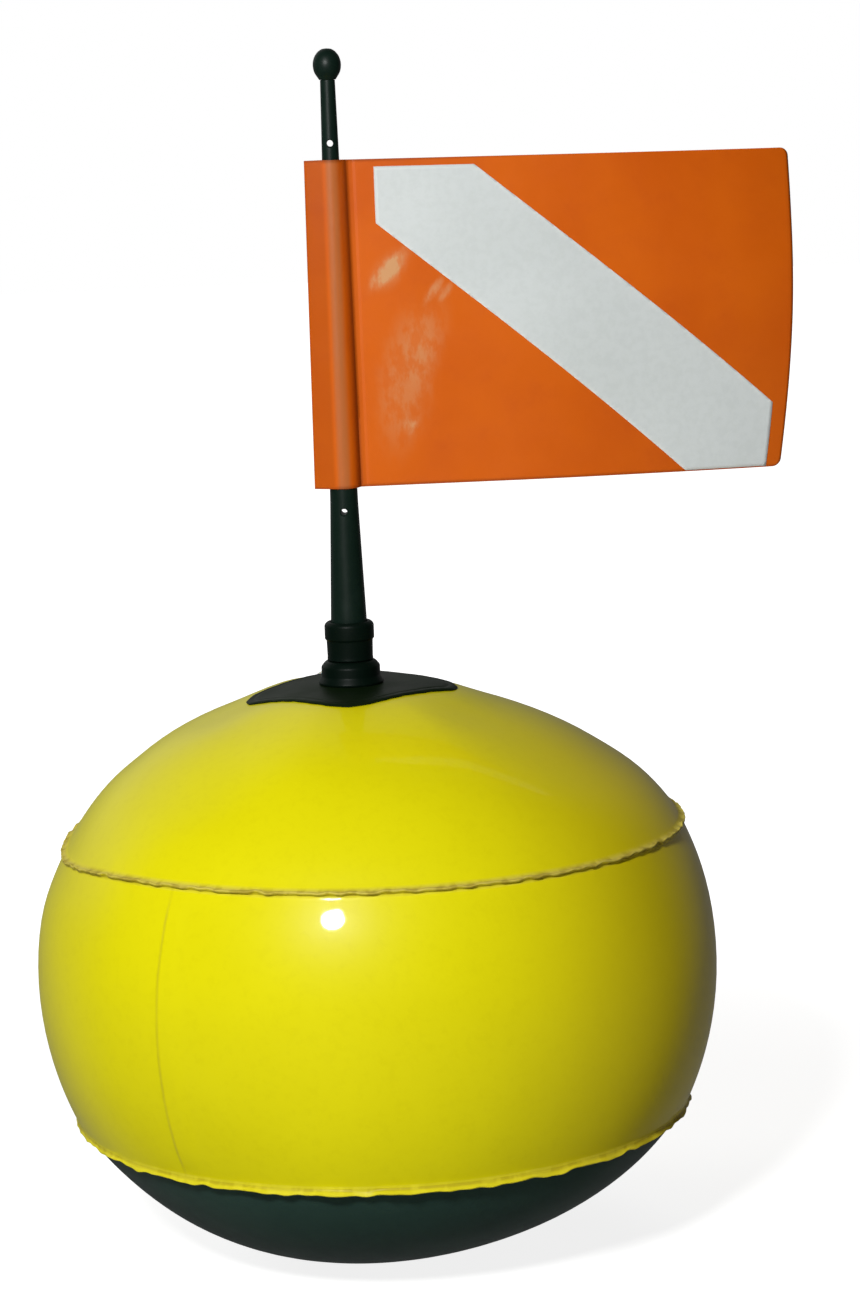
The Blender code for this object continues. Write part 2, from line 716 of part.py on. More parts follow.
def make_flag_stripe(bench, flag_seat, name, side):
    """The white diagonal on one face: a film over the print area, kept inside a slanted bar."""
    low, high = STRIPE_BOTTOM_MARGIN, FLAG_HEIGHT - STRIPE_TOP_MARGIN
    end = FLAG_REACH - STRIPE_FLY_MARGIN
    stand_off = side * (FLAG_SHEET / 2 + GAP + STRIPE_FILM / 2)

    def film_point(column, row):
        x = STRIPE_START + (end - STRIPE_START) * column / STRIPE_COLUMNS
        z = low + (high - low) * row / FLAG_ROWS
        crease = sleeve_section(z)[1]
        return Vector((x, plate_y(x, z, crease) + stand_off, z))

    film = sheet_mesh(name, STRIPE_COLUMNS, FLAG_ROWS, film_point)
    stripe = bench.piece(name, film, "white_film", flag_seat)
    set_solidify(stripe, STRIPE_FILM, 0)
    length = FLAG_REACH + FLAG_HEIGHT
    depth = FLAG_BOW + FLAG_CURL + OVERRUN
    bar = bench.helper(
        name + "_bar",
        box_mesh(name + "_bar", (-length, -depth, -STRIPE_WIDTH), (length, depth, 0.0)),
        flag_seat,
    )
    bar.location = (STRIPE_TOP_END, 0.0, high)
    bar.rotation_euler.y = STRIPE_ANGLE
    set_boolean(stripe, bar, "INTERSECT")
    return bench.settle(stripe)


def make_valve_base(bench, valve_seat):
    """The valve's stem and its flange, welded on the dome, with the stem reaching inside."""
    flange_top = GAP + VALVE_FLANGE
    profile = [
        (STEM_BORE + STEM_CHAMFER, STEM_HEIGHT),
        (STEM_RADIUS - STEM_CHAMFER, STEM_HEIGHT),
        (STEM_RADIUS, STEM_HEIGHT - STEM_CHAMFER),
        (STEM_RADIUS, flange_top),
        (VALVE_FLANGE_RADIUS, flange_top),
        (VALVE_FLANGE_RADIUS, GAP),
        (STEM_RADIUS, GAP),
        (STEM_RADIUS, -STEM_DEPTH),
        (STEM_BORE, -STEM_DEPTH),
        (STEM_BORE, STEM_HEIGHT - STEM_CHAMFER),
    ]
    base = bench.piece("valve_base", profile_mesh("valve_base", profile, True), "clear_pvc", valve_seat)
    return bench.settle(bench.turn(base, VALVE_STEPS))


def make_valve_collar(bench, valve_seat):
    """The ring round the stem and the strap that carries the plug."""
    top = COLLAR_Z + COLLAR_HEIGHT
    ring_profile = [
        (COLLAR_BORE, top),
        (COLLAR_RADIUS, top),
        (COLLAR_RADIUS, COLLAR_Z),
        (COLLAR_BORE, COLLAR_Z),
    ]
    ring = profile_mesh("valve_collar", ring_profile, True)
    collar = bench.piece("valve_collar", ring, "clear_pvc", valve_seat)
    bench.turn(collar, VALVE_STEPS)
    root = (COLLAR_BORE + COLLAR_RADIUS) / 2
    arm_top = COLLAR_Z + STRAP_THICKNESS
    strap_top = PLUG_HINGE_Z - HINGE_GAP
    outline = [
        (root, COLLAR_Z),
        (STRAP_Y + STRAP_THICKNESS, COLLAR_Z),
        (STRAP_Y + STRAP_THICKNESS, strap_top),
        (STRAP_Y, strap_top),
        (STRAP_Y, arm_top),
        (root, arm_top),
    ]
    strap_mesh = bench.extrusion("collar_strap", [outline], STRAP_HALF_WIDTH)
    strap = bench.helper("collar_strap", strap_mesh, valve_seat)
    set_boolean(collar, strap, "UNION")
    return bench.settle(collar)


def make_valve_plug(bench, plug_seat):
    """The plug: a head with a tapered pin, a finger lip and a tongue to its hinge line."""
    top, bottom = PLUG_Z + PLUG_HEAD, PLUG_Z
    profile = [
        (0.0, top),
        (PLUG_RADIUS - PLUG_CHAMFER, top),
        (PLUG_RADIUS, top - PLUG_CHAMFER),
        (PLUG_RADIUS, bottom),
        (PLUG_PIN_RADIUS, bottom),
        (PLUG_PIN_RADIUS - PLUG_PIN_TAPER, bottom - PLUG_PIN_LENGTH),
        (0.0, bottom - PLUG_PIN_LENGTH),
    ]
    turned = bench.helper("plug_turned", profile_mesh("plug_turned", profile, False), plug_seat)
    turned.location = (0.0, -PLUG_HINGE_Y, -PLUG_HINGE_Z)
    bench.turn(turned, VALVE_STEPS)
    tongue_low = HINGE_GAP
    outline = [
        (PLUG_RADIUS / 2 - PLUG_HINGE_Y, tongue_low),
        (-HINGE_GAP, tongue_low),
        (-HINGE_GAP, tongue_low + PLUG_TONGUE),
        (PLUG_RADIUS / 2 - PLUG_HINGE_Y, tongue_low + PLUG_TONGUE),
    ]
    plug = bench.piece(
        "valve_plug", bench.extrusion("valve_plug", [outline], STRAP_HALF_WIDTH), "clear_pvc", plug_seat
    )
    set_boolean(plug, turned, "UNION")
    far = -PLUG_HINGE_Y - PLUG_RADIUS - PLUG_LIP
    near = -PLUG_HINGE_Y - PLUG_RADIUS / 2
    lip_low = bottom - PLUG_HINGE_Z + (PLUG_HEAD - PLUG_CHAMFER - PLUG_LIP_THICKNESS) / 2
    lip_mesh = box_mesh(
        "plug_lip",
        (-STRAP_HALF_WIDTH, far, lip_low),
        (STRAP_HALF_WIDTH, near, lip_low + PLUG_LIP_THICKNESS),
    )
    set_boolean(plug, bench.helper("plug_lip", lip_mesh, plug_seat), "UNION")
    return bench.settle(plug)


def make_valve_flap(bench, flap_seat):
    """The check flap under the stem's inner end, with a tongue to its hinge line."""
    radius = STEM_BORE + FLAP_LAP
    opening = math.asin(FLAP_TONGUE_HALF_WIDTH / radius)
    outline = []
    for i in range(VALVE_STEPS + 1):
        angle = opening + (2 * math.pi - 2 * opening) * i / VALVE_STEPS
        outline.append((radius * math.cos(angle) - FLAP_HINGE_Y, radius * math.sin(angle)))
    outline += [(0.0, -FLAP_TONGUE_HALF_WIDTH), (0.0, FLAP_TONGUE_HALF_WIDTH)]
    mesh = bench.extrusion("valve_flap", [outline], FLAP_THICKNESS / 2)
    mesh.transform(Matrix.Rotation(math.pi / 2, 4, "Y"))
    flap = bench.piece("valve_flap", mesh, "clear_pvc", flap_seat)
    return bench.settle(flap)


def make_tow_patch(bench, tow_seat):
    """The round patch under the tow tab, cut from a second skin over the bottom dome."""
    inner = TOW_REACH - TOW_PATCH_RADIUS
    outer = TOW_REACH + TOW_PATCH_RADIUS
    profile = on_bottom_dome(dome_line(inner, outer, PATCH_RINGS, PATCH_TOP_OFFSET))
    patch = bench.piece("tow_patch", profile_mesh("tow_patch", profile, False), "black_pvc")
    step = 2 * math.pi / BALL_STEPS
    patch.rotation_euler.z = math.pi / 2 - TOW_SECTOR_STEPS * step
    bench.turn(patch, 2 * TOW_SECTOR_STEPS, 2 * TOW_SECTOR_STEPS * step)
    set_solidify(patch, SHEET, -1)
    punch = rod_mesh("tow_punch", TOW_PATCH_RADIUS, 2 * TOW_PATCH_RADIUS, VALVE_STEPS)
    set_boolean(patch, bench.helper("tow_punch", punch, tow_seat), "INTERSECT")
    return bench.settle(patch)


def tab_tail(tow_seat, offset):
    """One face of the tab's tail, down the dome to the seat, in the seat's YZ plane."""
    to_seat = tow_seat.matrix_world.inverted()
    points = []
    for radius, z in on_bottom_dome(dome_line(TOW_REACH, TAB_REACH, TAB_TAIL_SEGMENTS, offset)):
        place = to_seat @ Vector((0.0, radius, z))
        points.append((place.y, place.z))
    return points


def make_tow_tab(bench, tow_seat):
    """The webbing tab, folded into an eye round the ring's bar and welded on the patch."""
    top = TAB_Z + 2 * TAB_WEBBING
    meet = math.asin((top - EYE_Z) / EYE_RADIUS)
    start, end = -math.pi / 2, math.pi - meet
    outer = tab_tail(tow_seat, TAB_Z)
    for i in range(TAB_ARC_SEGMENTS + 1):
        angle = start + (end - start) * i / TAB_ARC_SEGMENTS
        outer.append((TAB_EYE + EYE_RADIUS * math.cos(angle), EYE_Z + EYE_RADIUS * math.sin(angle)))
    outer += reversed(tab_tail(tow_seat, top))
    eye = []
    for i in range(TAB_ARC_SEGMENTS):
        angle = 2 * math.pi * i / TAB_ARC_SEGMENTS
        eye.append((TAB_EYE + EYE_BORE * math.cos(angle), EYE_Z + EYE_BORE * math.sin(angle)))
    webbing = bench.extrusion("tow_tab", [outer, eye], TAB_HALF_WIDTH)
    tab = bench.piece("tow_tab", webbing, "black_pvc", tow_seat)
    return bench.settle(tab)


def make_tow_ring(bench, ring_seat):
    """The steel D ring, hanging from its straight bar."""
    half, bend = RING_HALF_WIDTH, RING_BEND
    points = []
    for i in range(RING_BEND_SEGMENTS + 1):
        angle = math.pi / 2 - math.pi / 2 * i / RING_BEND_SEGMENTS
        points.append((half - bend + bend * math.cos(angle), bend * math.sin(angle) - bend))
    for i in range(RING_BOW_SEGMENTS + 1):
        angle = -math.pi * i / RING_BOW_SEGMENTS
        points.append((half * math.cos(angle), half * math.sin(angle) - RING_DROP))
    for i in range(RING_BEND_SEGMENTS + 1):
        angle = math.pi - math.pi / 2 * i / RING_BEND_SEGMENTS
        points.append((bend - half + bend * math.cos(angle), bend * math.sin(angle) - bend))
    curve = bpy.data.curves.new("tow_ring", "CURVE")
    curve.dimensions = "3D"
    curve.bevel_depth = RING_WIRE
    curve.bevel_resolution = 2
    spline = curve.splines.new("POLY")
    spline.points.add(len(points) - 1)
    for point, (x, z) in zip(spline.points, points):
        point.co = (x, 0.0, z, 1.0)
    spline.use_cyclic_u = True
    return bench.piece("tow_ring", curve, "steel", ring_seat)


def make_weight(bench):
    """The weight, a flat disc on the bottom dome's flat."""
    low = SHEET + GAP
    top = low + WEIGHT_HEIGHT
    profile = [
        (0.0, top),
        (WEIGHT_RADIUS - WEIGHT_CHAMFER, top),
        (WEIGHT_RADIUS, top - WEIGHT_CHAMFER),
        (WEIGHT_RADIUS, low + WEIGHT_CHAMFER),
        (WEIGHT_RADIUS - WEIGHT_CHAMFER, low),
        (0.0, low),
    ]
    weight = bench.piece("ballast_weight", profile_mesh("ballast_weight", profile, False), "iron")
    return bench.settle(bench.turn(weight, SOCKET_STEPS))


def make_pocket(bench):
    """The sheet cap welded over the weight."""
    low = SHEET + GAP + SHEET
    top = SHEET + GAP + WEIGHT_HEIGHT + GAP + SHEET
    wall = WEIGHT_RADIUS + GAP + SHEET
    profile = [(0.0, top), (wall, top), (wall, low), (wall + POCKET_FLANGE, low)]
    pocket = bench.piece("ballast_pocket", profile_mesh("ballast_pocket", profile, False), "black_pvc")
    bench.turn(pocket, SOCKET_STEPS)
    set_solidify(pocket, SHEET, -1)
    return bench.settle(pocket)


def main():
    clear_scene()
    bench = Bench(NAME)

    # Seats: each is an empty whose Z leaves the surface or runs up the mast.
    valve_tilt = -dome_slope(VALVE_REACH)
    valve_seat = bench.seat(
        "valve_seat", (0.0, VALVE_REACH, APEX_Z - dome_drop(VALVE_REACH)), valve_tilt
    )
    tow_tilt = math.pi + dome_slope(TOW_REACH)
    tow_seat = bench.seat("tow_seat", (0.0, TOW_REACH, dome_drop(TOW_REACH) - REST_CUT), tow_tilt)
    mast_seat = bench.seat("mast_seat", (0.0, 0.0, SHOULDER_Z))
    flag_seat = bench.seat("flag_seat", (0.0, 0.0, FLAG_BOTTOM_Z))
    bpy.context.view_layer.update()
    plug_seat = bench.seat(
        "plug_seat", valve_seat.matrix_world @ Vector((0.0, PLUG_HINGE_Y, PLUG_HINGE_Z)), valve_tilt
    )
    flap_seat = bench.seat(
        "flap_seat", valve_seat.matrix_world @ Vector((0.0, FLAP_HINGE_Y, FLAP_HINGE_Z)), valve_tilt
    )
    ring_seat = bench.seat("ring_seat", tow_seat.matrix_world @ Vector((0.0, TAB_EYE, EYE_Z)))

    # The ball
    make_top_panel(bench, valve_seat)
    make_side_band(bench)
    make_bottom_panel(bench)
    make_weight(bench)
    make_pocket(bench)

    # The mast's socket
    make_top_patch(bench)
    make_socket_base(bench)
    make_socket_sleeve(bench)

    # The mast and the flag
    make_mast(bench, mast_seat)
    make_mast_knob(bench, mast_seat)
    make_flag_sheet(bench, flag_seat)
    make_flag_stripe(bench, flag_seat, "flag_stripe_front", -1)
    make_flag_stripe(bench, flag_seat, "flag_stripe_back", 1)

    # The valve
    make_valve_base(bench, valve_seat)
    make_valve_collar(bench, valve_seat)
    make_valve_plug(bench, plug_seat)
    make_valve_flap(bench, flap_seat)

    # The tow point
    make_tow_patch(bench, tow_seat)
    make_tow_tab(bench, tow_seat)
    make_tow_ring(bench, ring_seat)


main()
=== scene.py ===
"""The dressed dive flag float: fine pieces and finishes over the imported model.

Frame: metres, +Z up, the origin at the middle of the flat that the float stands on, the flag
towards +X and its front towards -Y.
"""

import logging
import math
from collections.abc import Callable, Iterable, Sequence
from dataclasses import dataclass
from enum import Enum
from functools import cached_property

import bmesh
import bpy
import numpy as np
from mathutils import Matrix, Vector, noise


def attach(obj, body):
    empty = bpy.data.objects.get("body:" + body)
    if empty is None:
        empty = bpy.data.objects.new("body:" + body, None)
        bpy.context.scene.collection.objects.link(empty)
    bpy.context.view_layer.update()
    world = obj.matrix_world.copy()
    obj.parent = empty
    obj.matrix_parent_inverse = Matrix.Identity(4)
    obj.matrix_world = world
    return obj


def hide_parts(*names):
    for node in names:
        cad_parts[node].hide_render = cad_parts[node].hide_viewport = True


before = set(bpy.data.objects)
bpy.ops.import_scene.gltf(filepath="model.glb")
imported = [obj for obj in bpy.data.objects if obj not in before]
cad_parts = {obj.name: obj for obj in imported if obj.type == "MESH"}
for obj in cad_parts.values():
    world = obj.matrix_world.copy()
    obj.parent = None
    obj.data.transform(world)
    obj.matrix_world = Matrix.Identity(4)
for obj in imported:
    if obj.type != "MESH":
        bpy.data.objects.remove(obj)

LOG = logging.getLogger("dive_flag_float")
FULL_TURN = 2 * math.pi
MERGE = 1e-6
HAIR = 1e-5

Mesh = bmesh.types.BMesh
Pair = tuple[float, float]
Colour = tuple[float, float, float]
Waves = tuple[tuple[int, float, float], ...]


class Slot(Enum):
    """The record's material slots."""

    YELLOW_PVC = "yellow_pvc"
    BLACK_PVC = "black_pvc"
    BLACK_PLASTIC = "black_plastic"
    ORANGE_PVC = "orange_pvc"
    WHITE_FILM = "white_film"
    CLEAR_PVC = "clear_pvc"
    STEEL = "steel"
    IRON = "iron"


class Body(Enum):
    """The bodies that new pieces ride on."""

    BALL = "ball"
    MAST = "mast"
    FLAG = "flag"
    PLUG = "plug"
    RING = "ring"


# ---- shader graphs


class Wire:
    """One socket of a graph, which takes part in plain arithmetic."""

    def __init__(self, graph: "Graph", socket: bpy.types.NodeSocket) -> None:
        """Wraps an output socket of a graph."""
        self.graph = graph
        self.socket = socket

    def __add__(self, other: "Wire | float") -> "Wire":
        """Adds."""
        return self.graph.maths("ADD", self, other)

    __radd__ = __add__

    def __sub__(self, other: "Wire | float") -> "Wire":
        """Takes the other away."""
        return self.graph.maths("SUBTRACT", self, other)

    def __rsub__(self, other: float) -> "Wire":
        """Is taken away from the other."""
        return self.graph.maths("SUBTRACT", other, self)

    def __mul__(self, other: "Wire | float") -> "Wire":
        """Multiplies."""
        return self.graph.maths("MULTIPLY", self, other)

    __rmul__ = __mul__

    def sine(self) -> "Wire":
        """The sine."""
        return self.graph.maths("SINE", self, 0.0)

    def at_most(self, other: "Wire | float") -> "Wire":
        """The smaller of the two."""
        return self.graph.maths("MINIMUM", self, other)

    def between(self, low: float, high: float) -> "Wire":
        """A smooth step from 0 at low to 1 at high."""
        settings = {"interpolation_type": "SMOOTHSTEP"}
        values = {"Value": self, "From Min": low, "From Max": high}
        return self.graph.node("ShaderNodeMapRange", settings, values)


class Graph:
    """A node tree that is written as expressions."""

    def __init__(self, tree: bpy.types.NodeTree) -> None:
        """Empties a material's or the world's tree."""
        self.tree = tree
        tree.nodes.clear()

    def node(
        self, kind: str, settings: dict | None = None, values: dict | None = None, output: int | str = 0
    ) -> Wire | None:
        """Adds one node.

        Args:
            kind: the node's type.
            settings: its own settings, set first.
            values: numbers, colours or wires for its sockets, by name or place.
            output: the socket that comes back.

        Returns:
            The wire of that socket, where the node has one.
        """
        made = self.tree.nodes.new(kind)
        for name, value in (settings or {}).items():
            setattr(made, name, value)
        for name, value in (values or {}).items():
            socket = made.inputs[name]
            if isinstance(value, Wire):
                self.tree.links.new(value.socket, socket)
            elif isinstance(value, tuple) and len(value) == 3 and socket.type == "RGBA":
                socket.default_value = (*value, 1.0)
            else:
                socket.default_value = value
        return Wire(self, made.outputs[output]) if len(made.outputs) else None

    def maths(self, operation: str, first: Wire | float, second: Wire | float) -> Wire:
        """One Math node on two values."""
        return self.node("ShaderNodeMath", {"operation": operation}, {0: first, 1: second})

    def mix(self, share: Wire | float, first: Wire | Colour, second: Wire | Colour) -> Wire:
        """The first colour with a share of the second."""
        return self.node("ShaderNodeMix", {"data_type": "RGBA"}, {0: share, 6: first, 7: second}, 2)

    def place(self) -> Wire:
        """Where the surface point is, in the object's own metres."""
        return self.node("ShaderNodeTexCoord", output="Object")

    def along(self, axis: int, place: Wire) -> Wire:
        """One coordinate of a place, 0 for X to 2 for Z."""
        return self.node("ShaderNodeSeparateXYZ", values={0: place}, output=axis)

    def attribute(self, name: str) -> Wire:
        """A number that the mesh carries."""
        return self.node("ShaderNodeAttribute", {"attribute_name": name}, output="Fac")

    def ray(self, kind: str) -> Wire:
        """Whether a ray is of a kind, from Light Path."""
        return self.node("ShaderNodeLightPath", output=f"Is {kind} Ray")

    def cloud(
        self,
        place: Wire,
        scale: float,
        detail: float = 3.0,
        rough: float = 0.5,
        stretch: Colour | None = None,
    ) -> Wire:
        """Noise from 0 to 1.

        Args:
            place: the place to read it at.
            scale: waves per metre.
            detail: octaves.
            rough: how strong the finer octaves are.
            stretch: scales for the three axes.

        Returns:
            The noise.
        """
        if stretch is not None:
            place = self.node("ShaderNodeMapping", values={"Vector": place, "Scale": stretch})
        values = {"Vector": place, "Scale": scale, "Detail": detail, "Roughness": rough}
        return self.node("ShaderNodeTexNoise", values=values)

    def bumps(self, *layers: tuple[Wire, float, float]) -> Wire:
        """A normal that is bumped by several heights, one over the other.

        Args:
            layers: for each its height from 0 to 1, its depth in metres and its strength.

        Returns:
            The normal.
        """
        normal = None
        for height, depth, strength in layers:
            values = {"Height": height, "Distance": depth, "Strength": strength}
            if normal is not None:
                values["Normal"] = normal
            normal = self.node("ShaderNodeBump", values=values)
        return normal


def new_graph(name: str) -> tuple[bpy.types.Material, Graph]:
    """A new material and its empty graph."""
    material = bpy.data.materials.new(name)
    material.use_nodes = True
    return material, Graph(material.node_tree)


# ---- finishes


@dataclass(frozen=True)
class Finish:
    """A finish of the float, with the record's slot that it stands for."""

    name: str
    slot: Slot
    colour: Colour
    shade: Colour

    def values(self, graph: Graph, place: Wire) -> dict:
        """What the finish gives each socket of its shader."""
        raise NotImplementedError

    @cached_property
    def material(self) -> bpy.types.Material:
        """The finished material, made when a piece first asks for it."""
        material, graph = new_graph(self.name)
        shader = graph.node("ShaderNodeBsdfPrincipled", values=self.values(graph, graph.place()))
        graph.node("ShaderNodeOutputMaterial", values={"Surface": shader})
        return material


@dataclass(frozen=True)
class GlossyPvc(Finish):
    """Welded PVC sheet with a soft gloss, paler where the weld has pressed it, with painted shade along its
    seams and lap and towards +X.
    """

    weld: Colour
    # brown of the painted shade at the seams and the lap
    seam_shadow: Colour
    # painted shade: the browner tint of the +X side, turned from the key lamp, and where it fades in
    shade_side_tint: Colour
    shade_side_span: Pair = (0.02, 0.17)
    roughness: float = 0.36
    coat: float = 0.28
    coat_roughness: float = 0.05
    specular: float = 0.12

    def values(self, graph: Graph, place: Wire) -> dict:
        """The sheet's tone, its paler lips, painted shade in dashes and pressed lines at the seams and the
        lap, and a painted shade tint towards +X.
        """
        broad = graph.cloud(place, 11.0, 2.0)
        mottle = graph.cloud(place, 210.0, 3.0, 0.6)
        grain = graph.cloud(place, 1500.0, 2.0)
        smear = graph.cloud(place, 26.0, 4.0, 0.6, (1.0, 1.0, 2.5))
        # painted shade: brown dashes on the lips, for the shade under the rippled lip's folds
        shadow_dashes = graph.cloud(place, 150.0, 2.0, 0.5, (1.0, 1.0, 0.4)).between(0.44, 0.60)
        weld, press = graph.attribute("weld"), graph.attribute("press")
        tone = (broad.between(0.35, 0.7) * 0.55 + mottle.between(0.45, 0.75) * 0.35).at_most(1.0)
        base = graph.mix(tone, self.colour, self.shade)
        # Painted shade: the yellow turns browner towards +X, the side turned from the key lamp.
        base = graph.mix(graph.along(0, place).between(*self.shade_side_span), base, self.shade_side_tint)
        base = graph.mix(weld, base, graph.mix(shadow_dashes * 0.50, self.weld, self.seam_shadow))
        return {
            # painted shade: brown where press is set, under the top dome's lip, in the lower fold and at the
            # lap's edge
            "Base Color": graph.mix(press * (0.45 + shadow_dashes * 0.45), base, self.seam_shadow),
            "Roughness": self.roughness + (smear - 0.5) * 0.10 + (grain - 0.5) * 0.05 + weld * 0.15,
            "Coat Weight": (1.0 - (weld * 4.0 + press).at_most(1.0)) * self.coat,
            "Coat Roughness": self.coat_roughness,
            "Specular IOR Level": self.specular,
            "Normal": graph.bumps(
                (grain, 0.00004, 0.5), (mottle, 0.00012, 0.35), (1.0 - press, 0.00025, 1.0)
            ),
        }


@dataclass(frozen=True)
class MattePvc(Finish):
    """Black PVC sheet with a dull, faintly pebbled skin."""

    roughness: float
    specular: float
    pebble: float = 900.0

    def values(self, graph: Graph, place: Wire) -> dict:
        """The sheet's tone, its pebbles and its pressed lines."""
        broad = graph.cloud(place, 14.0, 3.0)
        pebbles = graph.cloud(place, self.pebble, 2.0, 0.45)
        smear = graph.cloud(place, 60.0, 4.0, 0.65)
        press = graph.attribute("press")
        tone = broad.between(0.3, 0.75) * 0.6 + smear.between(0.5, 0.8) * 0.3
        return {
            "Base Color": graph.mix(tone, self.colour, self.shade),
            "Roughness": self.roughness + (smear - 0.5) * 0.14 - press * 0.06,
            "Specular IOR Level": self.specular,
            "Normal": graph.bumps((pebbles, 0.00005, 0.6), (1.0 - press, 0.0002, 1.0)),
        }


@dataclass(frozen=True)
class MouldedPlastic(Finish):
    """Injection moulded plastic, with fine drag marks up the mould."""

    roughness: float
    specular: float

    def values(self, graph: Graph, place: Wire) -> dict:
        """The plastic's worn places and its drag marks."""
        drag = graph.cloud(place, 420.0, 3.0, 0.6, (1.0, 1.0, 0.04))
        grain = graph.cloud(place, 1700.0, 2.0)
        patchy = graph.cloud(place, 75.0, 4.0, 0.6)
        tone = patchy.between(0.45, 0.8) * 0.5 + drag.between(0.5, 0.8) * 0.25
        return {
            "Base Color": graph.mix(tone, self.colour, self.shade),
            "Roughness": self.roughness + (patchy - 0.5) * 0.16 + (drag - 0.5) * 0.10,
            "Specular IOR Level": self.specular,
            "Normal": graph.bumps((grain, 0.00003, 0.6), (drag, 0.00006, 0.5)),
        }


@dataclass(frozen=True)
class FlagVinyl(Finish):
    """Orange vinyl with a woven core that shows through faintly."""

    # pale colour of the painted glare patches
    painted_glare: Colour
    # dark colour of the painted shade at the crease, the fold strip, the edges and the lower corner
    crease: Colour
    # tan colour of the painted sheen on the sleeve
    painted_sheen_tint: Colour
    threads_per_metre: float = 900.0
    roughness: float = 0.38
    specular: float = 0.20

    def values(self, graph: Graph, place: Wire) -> dict:
        """The vinyl's tone and weave, with painted glare patches and a painted sheen streak on the front only,
        and painted shade where the crease mark is set.
        """
        turn = FULL_TURN * self.threads_per_metre
        weft, warp = (graph.attribute("run") * turn).sine(), (graph.along(2, place) * turn).sine()
        weave = (weft * warp) * 0.5 + 0.5
        broad = graph.cloud(place, 16.0, 3.0)
        cloudy = graph.cloud(place, 70.0, 4.0, 0.6)
        grain = graph.cloud(place, 1300.0, 2.0)
        drawn = graph.cloud(place, 330.0, 3.0, 0.6, (1.0, 1.0, 0.05))
        patchy = graph.cloud(place, 130.0, 3.0, 0.6, (1.4, 1.0, 0.7)).between(0.36, 0.62)
        press = graph.attribute("press")
        # the painted glare and sheen go on the front face only, which faces the key lamp
        facing = graph.node("ShaderNodeTexCoord", output="Normal")
        front = (0.0 - graph.along(1, facing)).between(0.0, 0.3)
        tone = broad.between(0.3, 0.75) * 0.7 + cloudy.between(0.5, 0.8) * 0.25
        base = graph.mix(tone, self.colour, self.shade)
        # Painted sheen: a paler tan streak down the front of the sleeve.
        base = graph.mix(graph.attribute("painted_sheen") * front * (0.45 + drawn * 0.7), base, self.painted_sheen_tint)
        # Painted glare: paler patches beside the sleeve, where the wavy sheet would reflect the key lamp.
        painted_glare = graph.attribute("painted_glare") * front * (0.30 + patchy * 0.70)
        base = graph.mix(painted_glare.at_most(0.9), base, self.painted_glare)
        return {
            # painted shade: darker where the crease mark is set
            "Base Color": graph.mix(graph.attribute("crease") * 0.75, base, self.crease),
            "Roughness": self.roughness + (cloudy - 0.5) * 0.16 + (grain - 0.5) * 0.05 + press * 0.1,
            "Specular IOR Level": self.specular,
            "Normal": graph.bumps(
                (weave, 0.00003, 0.5),
                (grain, 0.00003, 0.4),
                (cloudy, 0.0006, 0.25),
                (1.0 - press, 0.0002, 1.0),
            ),
        }


@dataclass(frozen=True)
class StripeFilm(Finish):
    """White film for the stripe, faintly pebbled like a reflective sheet."""

    rim: Colour = (0.78, 0.80, 0.79)
    roughness: float = 0.42

    def values(self, graph: Graph, place: Wire) -> dict:
        """The film's mottle and its paler rim."""
        mottle = graph.cloud(place, 260.0, 3.0, 0.6)
        broad = graph.cloud(place, 20.0, 2.0)
        grain = graph.cloud(place, 1100.0, 2.0)
        tone = mottle.between(0.35, 0.7) * 0.55 + broad.between(0.3, 0.7) * 0.45
        base = graph.mix(tone, self.colour, self.shade)
        return {
            "Base Color": graph.mix(graph.attribute("rim") * 0.8, base, self.rim),
            "Roughness": self.roughness + (mottle - 0.5) * 0.2,
            "Normal": graph.bumps((grain, 0.00003, 0.5), (mottle, 0.00008, 0.4)),
        }


@dataclass(frozen=True)
class MilkyPvc(Finish):
    """Soft milky PVC of the mouth valve."""

    roughness: float = 0.26
    depth: float = 0.002
    milkiness: float = 0.35

    def values(self, graph: Graph, place: Wire) -> dict:
        """The PVC's cloudy tone and its light inside."""
        cloudy = graph.cloud(place, 240.0, 3.0)
        grain = graph.cloud(place, 1800.0, 2.0)
        return {
            "Base Color": graph.mix(cloudy.between(0.3, 0.75), self.colour, self.shade),
            "Roughness": self.roughness + (cloudy - 0.5) * 0.16,
            "Subsurface Weight": self.milkiness,
            "Subsurface Scale": self.depth,
            "Normal": graph.bumps((grain, 0.00003, 0.5)),
        }


@dataclass(frozen=True)
class Webbing(Finish):
    """Black woven webbing."""

    ribs_per_metre: float = 620.0
    roughness: float = 0.72
    specular: float = 0.3

    def values(self, graph: Graph, place: Wire) -> dict:
        """The webbing's ribs and fuzz."""
        turn = FULL_TURN * self.ribs_per_metre
        across = (graph.along(0, place) * turn).sine()
        weave = (across * (graph.attribute("run") * turn * 0.8).sine()) * 0.5 + 0.5
        fuzz = graph.cloud(place, 1600.0, 3.0, 0.7)
        return {
            "Base Color": graph.mix(weave * 0.5 + fuzz * 0.4, self.colour, self.shade),
            "Roughness": self.roughness + (fuzz - 0.5) * 0.2,
            "Specular IOR Level": self.specular,
            "Normal": graph.bumps((weave, 0.00022, 0.8), (fuzz, 0.00008, 0.5)),
        }


